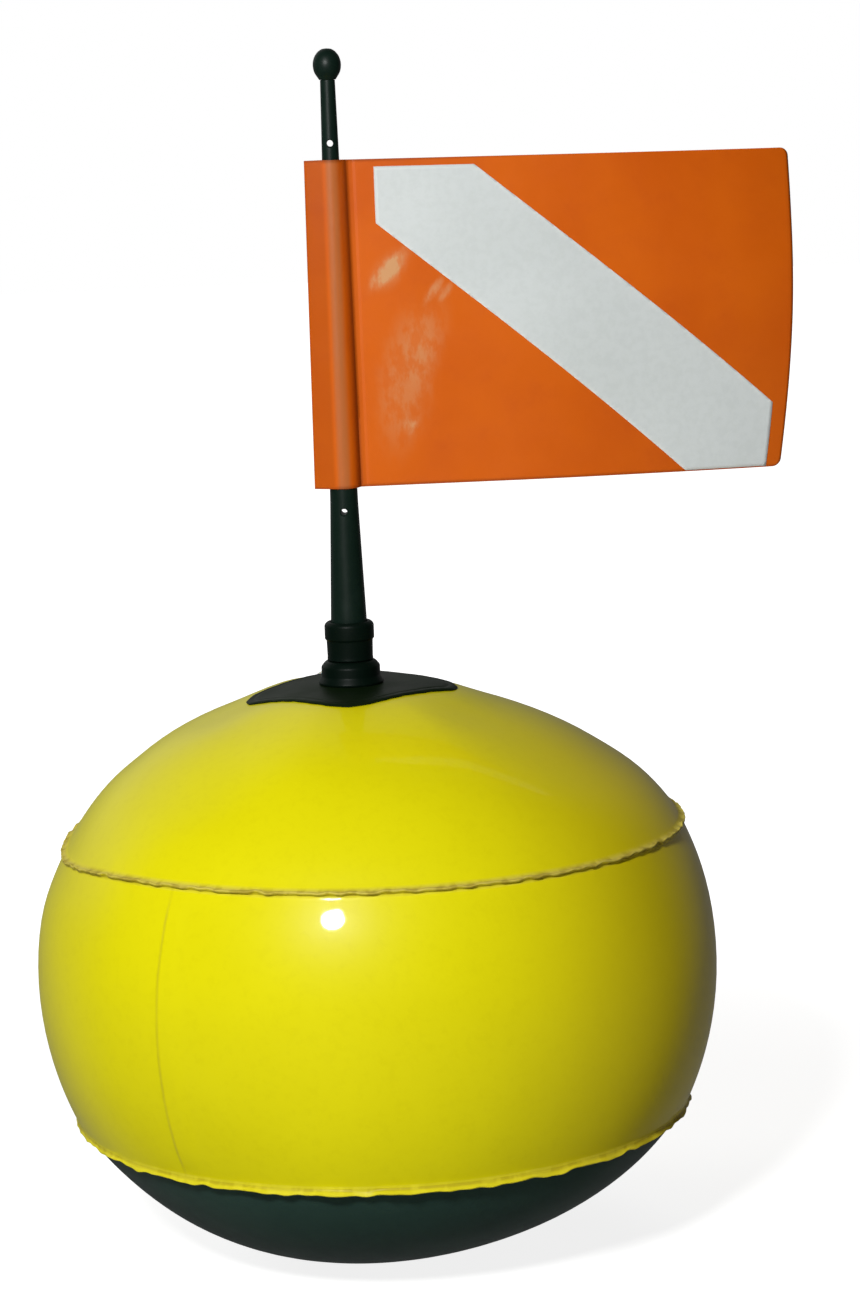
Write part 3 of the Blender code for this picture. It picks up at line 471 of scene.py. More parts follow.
@dataclass(frozen=True)
class Metal(Finish):
    """Bare metal: polished wire, or a rough casting."""

    roughness: float
    metallic: float
    grain_scale: float
    grain_depth: float

    def values(self, graph: Graph, place: Wire) -> dict:
        """The metal's dull places and its grain."""
        cloudy = graph.cloud(place, 190.0, 4.0, 0.6)
        grain = graph.cloud(place, self.grain_scale, 3.0)
        return {
            "Base Color": graph.mix(cloudy.between(0.35, 0.75), self.colour, self.shade),
            "Metallic": self.metallic,
            "Roughness": self.roughness + (cloudy - 0.5) * 0.18,
            "Normal": graph.bumps((grain, self.grain_depth, 0.6)),
        }


PANEL_YELLOW = GlossyPvc(
    "yellow_pvc_sheet",
    Slot.YELLOW_PVC,
    colour=(0.800, 0.735, 0.003),
    shade=(0.740, 0.672, 0.002),
    weld=(0.66, 0.56, 0.09),
    # brown of the painted seam shade
    seam_shadow=(0.30, 0.205, 0.012),
    # painted shade tint of the +X side
    shade_side_tint=(0.700, 0.565, 0.008),
)
PANEL_BLACK = MattePvc(
    "black_pvc_sheet", Slot.BLACK_PVC, (0.0260, 0.0620, 0.0500), (0.0350, 0.0760, 0.0610), 0.48, 0.15
)
PATCH_BLACK = MattePvc(
    "black_patch_sheet", Slot.BLACK_PVC, (0.0040, 0.0105, 0.0030), (0.0080, 0.0165, 0.0050), 0.44, 0.05
)
SLEEVE_RUBBER = MattePvc(
    "sleeve_rubber", Slot.BLACK_PVC, (0.0016, 0.0056, 0.0034), (0.0036, 0.0094, 0.0066), 0.44, 0.10, 1400.0
)
SOCKET_PLASTIC = MouldedPlastic(
    "socket_plastic", Slot.BLACK_PLASTIC, (0.0018, 0.0060, 0.0036), (0.0040, 0.0100, 0.0070), 0.42, 0.10
)
MAST_PLASTIC = MouldedPlastic(
    "mast_plastic", Slot.BLACK_PLASTIC, (0.0050, 0.0140, 0.0098), (0.0100, 0.0220, 0.0170), 0.40, 0.20
)
FLAG_ORANGE = FlagVinyl(
    "orange_flag_vinyl",
    Slot.ORANGE_PVC,
    colour=(0.720, 0.132, 0.004),
    shade=(0.620, 0.097, 0.003),
    # pale colour of the painted glare
    painted_glare=(0.68, 0.37, 0.17),
    # dark colour of the painted shade
    crease=(0.20, 0.032, 0.004),
    # tan colour of the painted sheen
    painted_sheen_tint=(0.47, 0.150, 0.045),
)
STRIPE_WHITE = StripeFilm(
    "white_stripe_film", Slot.WHITE_FILM, (0.690, 0.735, 0.735), (0.630, 0.675, 0.670)
)
VALVE_MILKY = MilkyPvc("milky_valve_pvc", Slot.CLEAR_PVC, (0.62, 0.63, 0.57), (0.52, 0.53, 0.46))
TOW_WEBBING = Webbing("tow_webbing", Slot.BLACK_PVC, (0.0085, 0.0100, 0.0100), (0.024, 0.026, 0.026))
RING_STEEL = Metal(
    "ring_steel", Slot.STEEL, (0.66, 0.66, 0.64), (0.52, 0.52, 0.50), 0.22, 1.0, 900.0, 0.00003
)
WEIGHT_IRON = Metal(
    "weight_iron", Slot.IRON, (0.16, 0.16, 0.165), (0.09, 0.085, 0.08), 0.62, 0.85, 420.0, 0.00025
)


# ---- sums


def smooth_step(low: float, high: float, value: float) -> float:
    """A smooth share from 0 at low to 1 at high."""
    share = min(1.0, max(0.0, (value - low) / (high - low)))
    return share * share * (3 - 2 * share)


def hump(value: float, middle: float, width: float, power: int = 2) -> float:
    """A soft share that is 1 at the middle and fades over the width."""
    return math.exp(-(((value - middle) / width) ** power))


def wrapped(angle: float) -> float:
    """The same angle between minus and plus half a turn."""
    return (angle + math.pi) % FULL_TURN - math.pi


def ripple(waves: Waves, azimuth: float) -> float:
    """An uneven wave round the ball, from counts of waves with their heights and phases."""
    return sum(share * math.sin(count * azimuth + phase) for count, share, phase in waves)


def polar(radius: float, azimuth: float, z: float) -> Vector:
    """A place by its distance and direction from the Z axis."""
    return Vector((radius * math.cos(azimuth), radius * math.sin(azimuth), z))


def arc(radius: float, start: float, end: float, steps: int) -> list[Pair]:
    """Points on a circle round zero, from one angle to another."""
    angles = [start + (end - start) * i / steps for i in range(steps + 1)]
    return [(radius * math.cos(angle), radius * math.sin(angle)) for angle in angles]


def eased_corner(start: Pair, corner: Pair, end: Pair, segments: int) -> list[Pair]:
    """The points of a soft corner, with its two ends."""
    first, middle, last = Vector(start), Vector(corner), Vector(end)
    shares = [step / segments for step in range(segments + 1)]
    return [tuple(first.lerp(middle, share).lerp(middle.lerp(last, share), share)) for share in shares]


def lengths(points: Sequence[Vector]) -> list[float]:
    """How far along a line each of its points is."""
    run = [0.0]
    for first, second in zip(points, points[1:]):
        run.append(run[-1] + (second - first).length)
    return run


def resampled(points: Sequence[Vector], count: int) -> list[Vector]:
    """The same line with a count of evenly spaced points."""
    run = lengths(points)
    places = np.linspace(0.0, run[-1], count)
    axes = [np.interp(places, run, [point[axis] for point in points]) for axis in range(len(points[0]))]
    return [Vector(values) for values in zip(*axes)]


def relaxed(points: Sequence[Vector], rounds: int) -> list[Vector]:
    """The line with its corners eased, its ends kept.

    Args:
        points: the line.
        rounds: how many times each point moves towards its neighbours.

    Returns:
        The eased points.
    """
    eased = [point.copy() for point in points]
    for _ in range(rounds):
        inner = [(a + b * 2 + c) / 4 for a, b, c in zip(eased, eased[1:], eased[2:])]
        eased = [eased[0], *inner, eased[-1]]
    return eased


def softened(profile: Sequence[Pair], reach: float, segments: int = 4, ring: bool = False) -> list[Pair]:
    """Rounds a profile's corners, as a mould leaves them.

    Args:
        profile: the points.
        reach: how far from a corner its round starts.
        segments: steps in each round.
        ring: whether the profile closes on itself.

    Returns:
        The rounded profile.
    """
    points = [Vector(point) for point in profile]
    straight, most = math.radians(172), 0.45
    result: list[Pair] = []
    for i, corner in enumerate(points):
        before, after = points[i - 1] - corner, points[(i + 1) % len(points)] - corner
        end = not ring and i in (0, len(points) - 1)
        if end or before.angle(after, math.pi) > straight:
            result.append(tuple(corner))
            continue
        cut = min(reach, before.length * most, after.length * most)
        start, stop = corner + before.normalized() * cut, corner + after.normalized() * cut
        result += eased_corner(start, corner, stop, segments)
    return result


# ---- mesh making


def cleaned(bm: Mesh) -> Mesh:
    """Merges a closed mesh's doubles, turns its faces out and gives it back."""
    bmesh.ops.remove_doubles(bm, verts=bm.verts, dist=MERGE)
    bmesh.ops.recalc_face_normals(bm, faces=bm.faces)
    return bm


def spun(profile: Sequence[Pair], steps: int, ring: bool = False) -> Mesh:
    """Turns a profile of radius and height about Z.

    Args:
        profile: the points.
        steps: steps in a full turn.
        ring: whether the profile closes on itself.

    Returns:
        The turned mesh, with its poles merged.
    """
    bm = bmesh.new()
    verts = [bm.verts.new((radius, 0.0, z)) for radius, z in profile]
    ends = verts[1:] + verts[:1] if ring else verts[1:]
    edges = [bm.edges.new(pair) for pair in zip(verts, ends)]
    still, up = (0.0, 0.0, 0.0), (0.0, 0.0, 1.0)
    bmesh.ops.spin(
        bm,
        geom=verts + edges,
        cent=still,
        axis=up,
        dvec=still,
        angle=FULL_TURN,
        steps=steps,
        use_merge=True,
    )
    return cleaned(bm)


def moulded(
    profile: Sequence[Pair], steps: int, reach: float, segments: int = 4, ring: bool = False
) -> Mesh:
    """A turned piece whose corners are rounded, with the values of spun and softened."""
    return spun(softened(profile, reach, segments, ring), steps, ring)


def sheet_of(rows: Sequence[Sequence[Vector]], marks: dict[str, Callable[[int, int], float]]) -> Mesh:
    """A sheet through rows of points.

    Args:
        rows: rows of places, all of one length.
        marks: numbers that each point carries, by name, from its column and row.

    Returns:
        The sheet.
    """
    columns, lines = len(rows[0]) - 1, len(rows) - 1
    bm = bmesh.new()
    bmesh.ops.create_grid(bm, x_segments=columns, y_segments=lines, size=1.0)
    layers = {name: bm.verts.layers.float.new(name) for name in marks}
    for vert in bm.verts:
        column = round((vert.co.x + 1) / 2 * columns)
        row = round((vert.co.y + 1) / 2 * lines)
        vert.co = rows[row][column]
        for name, layer in layers.items():
            vert[layer] = marks[name](column, row)
    return bm


def as_mesh(name: str, bm: Mesh) -> bpy.types.Mesh:
    """Mesh data from a bmesh, which is used up."""
    mesh = bpy.data.meshes.new(name)
    bm.to_mesh(mesh)
    bm.free()
    return mesh


def held(name: str, data: bpy.types.ID) -> bpy.types.Object:
    """An object in the scene that holds some data."""
    obj = bpy.data.objects.new(name, data)
    bpy.context.scene.collection.objects.link(obj)
    return obj


def shown(obj: bpy.types.Object) -> Mesh:
    """A bmesh of what an object shows, with its modifiers or its bevel."""
    graph = bpy.context.evaluated_depsgraph_get()
    mesh = bpy.data.meshes.new_from_object(obj.evaluated_get(graph))
    bm = bmesh.new()
    bm.from_mesh(mesh)
    bpy.data.meshes.remove(mesh)
    return bm


def wire_loop(path: Sequence[Vector], radius: float, resolution: int) -> Mesh:
    """A round wire that closes on itself.

    Args:
        path: the wire's middle line.
        radius: the wire's radius.
        resolution: the curve's bevel resolution.

    Returns:
        The wire's mesh.
    """
    curve = bpy.data.curves.new("wire", "CURVE")
    curve.dimensions = "3D"
    curve.bevel_depth = radius
    curve.bevel_resolution = resolution
    spline = curve.splines.new("POLY")
    spline.points.add(len(path) - 1)
    for point, place in zip(spline.points, path):
        point.co = (*place, 1.0)
    spline.use_cyclic_u = True
    holder = held("wire", curve)
    bm = shown(holder)
    bpy.data.objects.remove(holder)
    bpy.data.curves.remove(curve)
    return cleaned(bm)


def carved(bm: Mesh, cutters: Iterable[Mesh]) -> Mesh:
    """Takes the cutters out of a closed mesh.

    Args:
        bm: the mesh, which is used up.
        cutters: closed meshes, which are used up too.

    Returns:
        What is left.
    """
    body, *tools = [held("carving", as_mesh("carving", shape)) for shape in (bm, *cutters)]
    for tool in tools:
        modifier = body.modifiers.new("Cut", "BOOLEAN")
        modifier.solver = "EXACT"
        modifier.operation = "DIFFERENCE"
        modifier.object = tool
    result = shown(body)
    for holder in (body, *tools):
        mesh = holder.data
        bpy.data.objects.remove(holder)
        bpy.data.meshes.remove(mesh)
    return result


def moved(bm: Mesh, matrix: Matrix) -> Mesh:
    """Moves a mesh and gives it back."""
    bmesh.ops.transform(bm, matrix=matrix, verts=bm.verts)
    return bm


def raised(bm: Mesh, z: float) -> Mesh:
    """Moves a mesh up and gives it back."""
    return moved(bm, Matrix.Translation((0.0, 0.0, z)))


def joined(first: Mesh, others: Iterable[Mesh]) -> Mesh:
    """Adds other meshes to the first, which comes back."""
    for other in others:
        mesh = as_mesh("part", other)
        first.from_mesh(mesh)
        bpy.data.meshes.remove(mesh)
    return first


def faced_out(bm: Mesh, middle: Vector) -> Mesh:
    """Turns a sheet's faces away from a point behind it and gives it back."""
    bm.normal_update()
    outward = 0.0
    for face in bm.faces:
        outward += face.normal.dot(face.calc_center_median() - middle) * face.calc_area()
    if outward < 0:
        bmesh.ops.reverse_faces(bm, faces=bm.faces)
    return bm


class Bench:
    """Puts finished meshes in the scene as pieces."""

    def __init__(self) -> None:
        """Makes the collection of pieces."""
        self.collection = bpy.data.collections.new("dressed_float")
        bpy.context.scene.collection.children.link(self.collection)

    def piece(
        self,
        name: str,
        bm: Mesh,
        finish: Finish,
        body: Body,
        node: str | None = None,
        thickness: float = 0.0,
        offset: float = -1.0,
        sharp: float = 50.0,
    ) -> bpy.types.Object:
        """Makes a piece from a mesh, hangs it on its body's empty and hides the CAD node that it replaces.

        Args:
            name: the piece's name.
            bm: its mesh, which is used up.
            finish: its finish.
            body: the body it rides on.
            node: the CAD node that it replaces.
            thickness: the wall that an open sheet gets, in metres.
            offset: which side of the sheet the wall goes to, -1 inwards.
            sharp: edges sharper than this many degrees stay sharp.

        Returns:
            The object.
        """
        mesh = as_mesh(name, bm)
        mesh.materials.append(finish.material)
        mesh.shade_smooth()
        mesh.set_sharp_from_angle(angle=math.radians(sharp))
        obj = bpy.data.objects.new(name, mesh)
        self.collection.objects.link(obj)
        if thickness:
            wall = obj.modifiers.new("Sheet", "SOLIDIFY")
            wall.thickness = thickness
            wall.offset = offset
            wall.use_even_offset = True
        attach(obj, body.value)
        if node:
            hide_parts(node)
        LOG.info("%s: %d faces, rides on %s", name, len(mesh.polygons), body.value)
        return obj

    def dress_node(self, node: str, finish: Finish) -> None:
        """Gives a CAD node that stays a finish of its own."""
        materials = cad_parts[node].data.materials
        materials.clear()
        materials.append(finish.material)
        LOG.info("%s: CAD node, dressed with %s", node, finish.name)


# ---- the ball


@dataclass(frozen=True)
class Seam:
    """Two sheets welded face to face and turned outwards, as a rippled lip."""

    radius: float
    height: float
    lip: float
    width: float
    flutter: float
    waves: Waves
    edge_depth: float
    edge_waves: Waves
    sheet: float
    recess: float = 0.0

    def point(self, azimuth: float, reach: float, side: int) -> Pair:
        """A point on the outer face of one of the two sheets.

        Args:
            azimuth: where round the ball.
            reach: the share of the lip's width from its fold, 0 to 1.
            side: 1 for the upper sheet's top, -1 for the lower sheet's underside.

        Returns:
            Its radius and height.
        """
        width = self.width * (1 + self.edge_depth * ripple(self.edge_waves, azimuth))
        out = reach * (width + min(side, 0) * self.recess)
        lean = self.lip + self.flutter * ripple(self.waves, azimuth)
        start = self.lip + (lean - self.lip) * 0.5
        angle = start + (lean - start) * reach
        lift = side * (self.sheet + HAIR)
        radius = self.radius + out * math.cos(angle) - lift * math.sin(angle)
        return radius, self.height + out * math.sin(angle) + lift * math.cos(angle)


@dataclass(frozen=True)
class BallShape:
    """The ball's surfaces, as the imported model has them, and how the real ball has settled."""

    seam_radius: float = 0.1535
    band_bulge: float = 0.0165
    band_height: float = 0.1412
    dome_rise: float = 0.0755
    rest_radius: float = 0.030
    sheet: float = 0.0008
    gap: float = 0.0003
    upper_lip: float = math.radians(20)
    lower_lip: float = math.radians(45)
    sway: float = 0.0079
    sway_span: Pair = (0.050, 0.140)
    dent: float = 0.0040
    dent_place: Pair = (-0.057, 0.004)
    dent_reach: float = 0.034
    dent_span: Pair = (0.019, 0.042)
    sink: float = 0.0038
    sink_span: Pair = (0.018, 0.052)
    sink_behind: float = 0.010
    slack: float = 0.0032
    slack_inner: Pair = (0.035, 0.075)
    slack_outer: Pair = (0.115, 0.150)
    slack_side: Pair = (0.35, 0.80)
    droop: float = 0.0060
    droop_azimuth: float = math.radians(-178)
    droop_width: float = math.radians(22)
    droop_reach: float = 0.045
    swell_depth: float = 0.0007
    swell_waves: float = 14.0
    swell_span: Pair = (0.080, 0.120)
    swell_side: Pair = (0.25, 0.5)

    @cached_property
    def ball_radius(self) -> float:
        """The band's largest radius."""
        return self.seam_radius + self.band_bulge

    @cached_property
    def dome_depth(self) -> float:
        """The half height of the ellipse that both domes follow."""
        return self.dome_rise / (1 - math.sqrt(1 - (self.seam_radius / self.ball_radius) ** 2))

    @cached_property
    def band_arc(self) -> float:
        """The radius of the band's round section."""
        return ((self.band_height / 2) ** 2 + self.band_bulge**2) / (2 * self.band_bulge)

    @cached_property
    def lift(self) -> float:
        """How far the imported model's flanges stand from the seam's middle plane."""
        return self.gap / 2 + self.sheet

    def drop(self, radius: float) -> float:
        """How far a dome has fallen from its middle at this radius."""
        return self.dome_depth * (1 - math.sqrt(1 - (radius / self.ball_radius) ** 2))

    def slope(self, radius: float) -> float:
        """A dome's slope from level at this radius."""
        share = radius / self.ball_radius
        return math.atan(self.dome_depth * share / (self.ball_radius * math.sqrt(1 - share**2)))

    def rim_radius(self, lip: float) -> float:
        """A dome's radius where its lip starts."""
        return self.seam_radius - self.lift * math.sin(lip)

    def fold_radius(self, lip: float) -> float:
        """The band's radius where its lip starts."""
        return self.seam_radius + self.lift * math.sin(lip)

    def band_reach(self, lip: float) -> float:
        """The angle along the band's arc to where its lip starts."""
        return math.acos((self.fold_radius(lip) - self.ball_radius + self.band_arc) / self.band_arc)

    @cached_property
    def rest_cut(self) -> float:
        """How much of the bottom dome's depth the flat takes."""
        return self.drop(self.rest_radius)

    @cached_property
    def lower_rim_z(self) -> float:
        """The bottom dome's rim."""
        return self.drop(self.rim_radius(self.lower_lip)) - self.rest_cut

    @cached_property
    def lower_fold_z(self) -> float:
        """The band's lower fold."""
        return self.lower_rim_z + 2 * self.lift * math.cos(self.lower_lip)

    @cached_property
    def equator_z(self) -> float:
        """The band's middle."""
        return self.lower_fold_z + self.band_arc * math.sin(self.band_reach(self.lower_lip))

    @cached_property
    def upper_fold_z(self) -> float:
        """The band's upper fold."""
        return self.equator_z + self.band_arc * math.sin(self.band_reach(self.upper_lip))

    @cached_property
    def upper_rim_z(self) -> float:
        """The top dome's rim."""
        return self.upper_fold_z + 2 * self.lift * math.cos(self.upper_lip)

    @cached_property
    def apex_z(self) -> float:
        """The top of the ball."""
        return self.upper_rim_z + self.drop(self.rim_radius(self.upper_lip))

    @cached_property
    def upper_seam_z(self) -> float:
        """The upper seam's middle plane."""
        return (self.upper_fold_z + self.upper_rim_z) / 2

    @cached_property
    def lower_seam_z(self) -> float:
        """The lower seam's middle plane."""
        return (self.lower_fold_z + self.lower_rim_z) / 2

    @cached_property
    def middle(self) -> Vector:
        """The ball's middle."""
        return Vector((0.0, 0.0, self.equator_z))

    def dome_point(self, radius: float, offset: float = 0.0) -> Pair:
        """Radius and drop of a dome's point moved out by an offset."""
        slope = self.slope(radius)
        return radius + offset * math.sin(slope), self.drop(radius) - offset * math.cos(slope)

    def settled(self, place: Vector) -> Vector:
        """Where a point of the even ball goes in the real ball, which has settled to one side."""
        radius = math.hypot(place.x, place.y)
        if radius < MERGE:
            return place
        sway = self.sway * smooth_step(*self.sway_span, radius)
        fall = self.fall(place, radius) if place.z > self.equator_z else 0.0
        scale = (radius + self.swell(place, radius)) / radius
        return Vector((place.x * scale + sway, place.y * scale, place.z - fall))

    def fall(self, place: Vector, radius: float) -> float:
        """How far a point of the ball's upper half has fallen, by dent, sink, slack and droop."""
        azimuth = math.atan2(place.y, place.x)
        away = math.hypot(place.x - self.dent_place[0], place.y - self.dent_place[1])
        fall = self.dent * hump(away, 0.0, self.dent_reach) * smooth_step(*self.dent_span, radius)
        inner, outer = self.sink_span
        outer += self.sink_behind * (0.5 + 0.5 * math.sin(azimuth))
        fall += self.sink * (1 - smooth_step(inner, outer, radius))
        shoulder = smooth_step(*self.slack_inner, radius) * (1 - smooth_step(*self.slack_outer, radius))
        fall += self.slack * shoulder * smooth_step(*self.slack_side, abs(math.cos(azimuth)))
        away = math.hypot(radius - self.seam_radius, place.z - self.upper_seam_z)
        droop = hump(wrapped(azimuth - self.droop_azimuth), 0.0, self.droop_width)
        return fall + self.droop * droop * (1 - smooth_step(0.0, self.droop_reach, away))

    def swell(self, place: Vector, radius: float) -> float:
        """How far the sheet stands out of its even shape, by its slack."""
        away = abs(wrapped(math.atan2(place.y, place.x) - math.pi / 2))
        calm = smooth_step(*self.swell_span, radius) * smooth_step(*self.swell_side, away)
        return calm * self.swell_depth * noise.noise(place * self.swell_waves)


@dataclass(frozen=True)
class Ball:
    """The ball's three sheets and the weight inside."""

    shape: BallShape
    hole: float = 0.0099
    steps: int = 960
    dome_rows: int = 26
    dome_crowding: float = 1.25
    band_rows: int = 26
    band_crowding: float = 0.85
    lip_rows: int = 5
    round_rows: int = 5
    round_reach: float = 0.0016
    pucker: float = 0.00004
    pucker_reach: float = 0.007
    lap_azimuth: float = math.radians(-133.8)
    lap_height: float = 0.0006
    lap_edge: float = 0.0008
    lap_fade: float = 0.016
    lap_ends: Pair = (0.004, 0.010)
    # the lap's edge: a pressed line that also carries a painted shade line
    lap_press_and_shade: float = 0.22
    pale: float = 0.25
    # the pressed lines beside the lips, also painted shade: under the top dome's lip and in the lower fold
    upper_press_and_shadow: float = 0.8
    lower_press_and_shade: float = 0.5

    @cached_property
    def upper_seam(self) -> Seam:
        """The seam between the top dome and the band."""
        coarse = (43, 0.34, 2.1), (61, 0.28, 0.4), (83, 0.36, 1.2)
        fine = (113, 0.30, 5.1), (29, 0.20, 4.0), (19, 0.20, 0.9)
        return Seam(
            radius=self.shape.seam_radius,
            height=self.shape.upper_seam_z,
            lip=math.radians(12),
            width=0.0023,
            flutter=math.radians(19),
            waves=coarse + fine,
            edge_depth=0.12,
            edge_waves=((37, 0.4, 1.0), (71, 0.4, 3.3), (131, 0.3, 0.2)),
            sheet=self.shape.sheet * 0.7,
            recess=0.00015,
        )

    @cached_property
    def lower_seam(self) -> Seam:
        """The seam between the band and the bottom dome."""
        back = -math.pi / 2
        coarse = (2, 0.75, back), (31, 0.45, 2.6), (23, 0.35, 0.3)
        fine = (43, 0.3, 4.4), (67, 0.2, 1.7), (11, 0.2, 0.0)
        edge_coarse = (1, 0.9, math.pi), (2, 1.1, back)
        edge_fine = (27, 0.45, 0.8), (35, 0.4, 2.9), (53, 0.35, 5.2), (79, 0.3, 1.1), (101, 0.25, 0.7)
        return Seam(
            radius=self.shape.seam_radius,
            height=self.shape.lower_seam_z,
            lip=-self.shape.lower_lip - math.radians(13),
            width=0.0026,
            flutter=math.radians(17),
            waves=coarse + fine,
            edge_depth=0.20,
            edge_waves=edge_coarse + edge_fine,
            sheet=self.shape.sheet,
        )

    def corner(self, before: Pair, fold: Pair, after: Pair) -> list[Pair]:
        """A soft fold between a panel and its lip, without its ends."""
        return eased_corner(before, fold, after, self.round_rows)[1:-1]

    def puckered(self, point: Pair, normal: Pair, azimuth: float, seam: Seam) -> Pair:
        """A panel's point with the small gathers that the weld leaves beside it."""
        away = math.hypot(point[0] - seam.radius, point[1] - seam.height)
        share = hump(away, 0.0, self.pucker_reach) * self.pucker * ripple(seam.waves, azimuth)
        return point[0] + normal[0] * share, point[1] + normal[1] * share

    def lip_line(self, seam: Seam, side: int, azimuth: float) -> list[Pair]:
        """One sheet of a lip, from past its fold to its edge."""
        start = self.round_reach / seam.width
        shares = [start + (1 - start) * i / self.lip_rows for i in range(self.lip_rows + 1)]
        return [seam.point(azimuth, share, side) for share in shares]

    def dome_line(self, inner: float, top: bool, azimuth: float) -> list[Pair]:
        """A dome's line, over its soft fold to its lip's edge.

        Args:
            inner: the radius that it starts at.
            top: whether it is the top dome.
            azimuth: where round the ball.

        Returns:
            The points.
        """
        shape = self.shape
        seam, side = (self.upper_seam, 1) if top else (self.lower_seam, -1)
        rim = shape.rim_radius(shape.upper_lip if top else shape.lower_lip)
        first = math.asin(inner / shape.ball_radius)
        last = math.asin((rim - self.round_reach * 0.7) / shape.ball_radius)
        points = []
        for i in range(self.dome_rows + 1):
            share = 1 - (1 - i / self.dome_rows) ** self.dome_crowding
            radius = shape.ball_radius * math.sin(first + (last - first) * share)
            drop, slope = shape.drop(radius), shape.slope(radius)
            z = shape.apex_z - drop if top else drop - shape.rest_cut
            normal = (math.sin(slope), side * math.cos(slope))
            points.append(self.puckered((radius, z), normal, azimuth, seam))
        fold = (rim, shape.upper_rim_z if top else shape.lower_rim_z)
        lip = self.lip_line(seam, side, azimuth)
        return points + self.corner(points[-1], fold, lip[0]) + lip

    def top_line(self, azimuth: float) -> list[Pair]:
        """The top dome's line, from the socket's hole to the lip's edge."""
        return self.dome_line(self.hole, True, azimuth)

    def bottom_line(self, azimuth: float) -> list[Pair]:
        """The bottom dome's line, from the middle of its flat to the lip's edge."""
        flat = [(self.shape.rest_radius * i / 5, 0.0) for i in range(5)]
        return flat + self.dome_line(self.shape.rest_radius, False, azimuth)

    def band_line(self, azimuth: float) -> list[Pair]:
        """The band's line, from the upper lip's edge to the lower lip's edge."""
        shape, upper, lower = self.shape, self.upper_seam, self.lower_seam
        turn = self.round_reach / shape.band_arc
        top, bottom = shape.band_reach(shape.upper_lip) - turn, turn - shape.band_reach(shape.lower_lip)
        middle = []
        for i in range(self.band_rows + 1):
            share = i / self.band_rows
            share += self.band_crowding * (0.5 - 0.5 * math.cos(math.pi * share) - share)
            angle = top + (bottom - top) * share
            across, up = math.cos(angle), math.sin(angle)
            radius = shape.ball_radius - shape.band_arc + shape.band_arc * across
            point = (radius, shape.equator_z + shape.band_arc * up)
            for seam in (upper, lower):
                point = self.puckered(point, (-across, -up), azimuth, seam)
            middle.append(point)
        upper_fold = (shape.fold_radius(shape.upper_lip), shape.upper_fold_z)
        lower_fold = (shape.fold_radius(shape.lower_lip), shape.lower_fold_z)
        upper_lip, lower_lip = self.lip_line(upper, -1, azimuth), self.lip_line(lower, 1, azimuth)
        return [
            *reversed(upper_lip),
            *self.corner(upper_lip[0], upper_fold, middle[0]),
            *middle,
            *self.corner(middle[-1], lower_fold, lower_lip[0]),
            *lower_lip,
        ]

    def lap_rise(self, azimuth: float, z: float) -> float:
        """How far the overlapped weld lifts the band's sheet at an azimuth and a height."""
        shape = self.shape
        run = wrapped(azimuth - self.lap_azimuth) * shape.ball_radius
        if not 0.0 <= run < self.lap_fade:
            return 0.0
        below = smooth_step(*self.lap_ends, shape.upper_fold_z - z)
        above = smooth_step(*self.lap_ends, z - shape.lower_fold_z)
        fade = 1 - smooth_step(self.lap_fade * 0.45, self.lap_fade, run)
        return smooth_step(0.0, self.lap_edge, run) * fade * self.lap_height * (below * above)

    def ring_azimuths(self) -> list[float]:
        """The azimuth of each ring of points, two of them drawn to the lap's edge."""
        step = FULL_TURN / self.steps
        azimuths = [i * step for i in range(self.steps)]
        before = int((self.lap_azimuth % FULL_TURN) / step)
        azimuths[before] = self.lap_azimuth % FULL_TURN
        azimuths[before + 1] = azimuths[before] + self.lap_edge / self.shape.ball_radius
        return azimuths

    def panel(self, line: Callable[[float], list[Pair]], weld: Callable[[int, int], Pair]) -> Mesh:
        """A sheet of the ball.

        Args:
            line: the sheet's line at an azimuth.
            weld: the weld's share and the press mark's share, which also carries painted shade, from a point's
                count from the line's start and from its end.

        Returns:
            The sheet's mesh, with its outside facing out.
        """
        band = line == self.band_line
        rows = []
        for azimuth in self.ring_azimuths():
            row = []
            for radius, z in line(azimuth):
                radius += self.lap_rise(azimuth, z) if band else 0.0
                row.append(self.shape.settled(polar(radius, azimuth, z)))
            rows.append(row)
        rows.append(rows[0])
        last = len(rows[0]) - 1
        lap = int((self.lap_azimuth % FULL_TURN) / FULL_TURN * self.steps)

        def weld_at(column: int, row: int) -> float:
            """The weld's paleness."""
            return weld(column, last - column)[0]

        def press_at(column: int, row: int) -> float:
            """The press mark with its painted shade, and the overlapped weld's edge with a painted shade line.
            """
            edge = self.lap_press_and_shade if band and row in (lap, lap + 1) else 0.0
            return max(edge, weld(column, last - column)[1])

        bm = sheet_of(rows, {"weld": weld_at, "press": press_at})
        bmesh.ops.remove_doubles(bm, verts=bm.verts, dist=MERGE)
        return faced_out(bm, self.shape.middle)

    def build(self, bench: Bench) -> None:
        """Makes the ball's pieces."""
        lip, fold = self.lip_rows + 1, self.round_rows - 1

        def top_weld(from_start: int, from_end: int) -> Pair:
            """The upper lip's paleness on the top dome, which fades over the fold."""
            return min(1.0, max(0.0, 1 - (from_end - lip) / fold)), 0.0

        def bottom_weld(from_start: int, from_end: int) -> Pair:
            """The lower lip's paleness on the bottom dome."""
            return (self.pale if from_end < lip else 0.0), 0.0

        def band_weld(from_start: int, from_end: int) -> Pair:
            """The paleness of both lips on the band, and the line pressed beside each, which also carries
            painted shade: under the top dome's lip and in the lower fold.
            """
            if from_start < lip + fold:
                return self.pale, (self.upper_press_and_shadow if from_start < lip + 2 else 0.0)
            if from_end < lip + fold:
                return self.pale, (self.lower_press_and_shade if lip <= from_end < lip + 2 else 0.0)
            return 0.0, 0.0

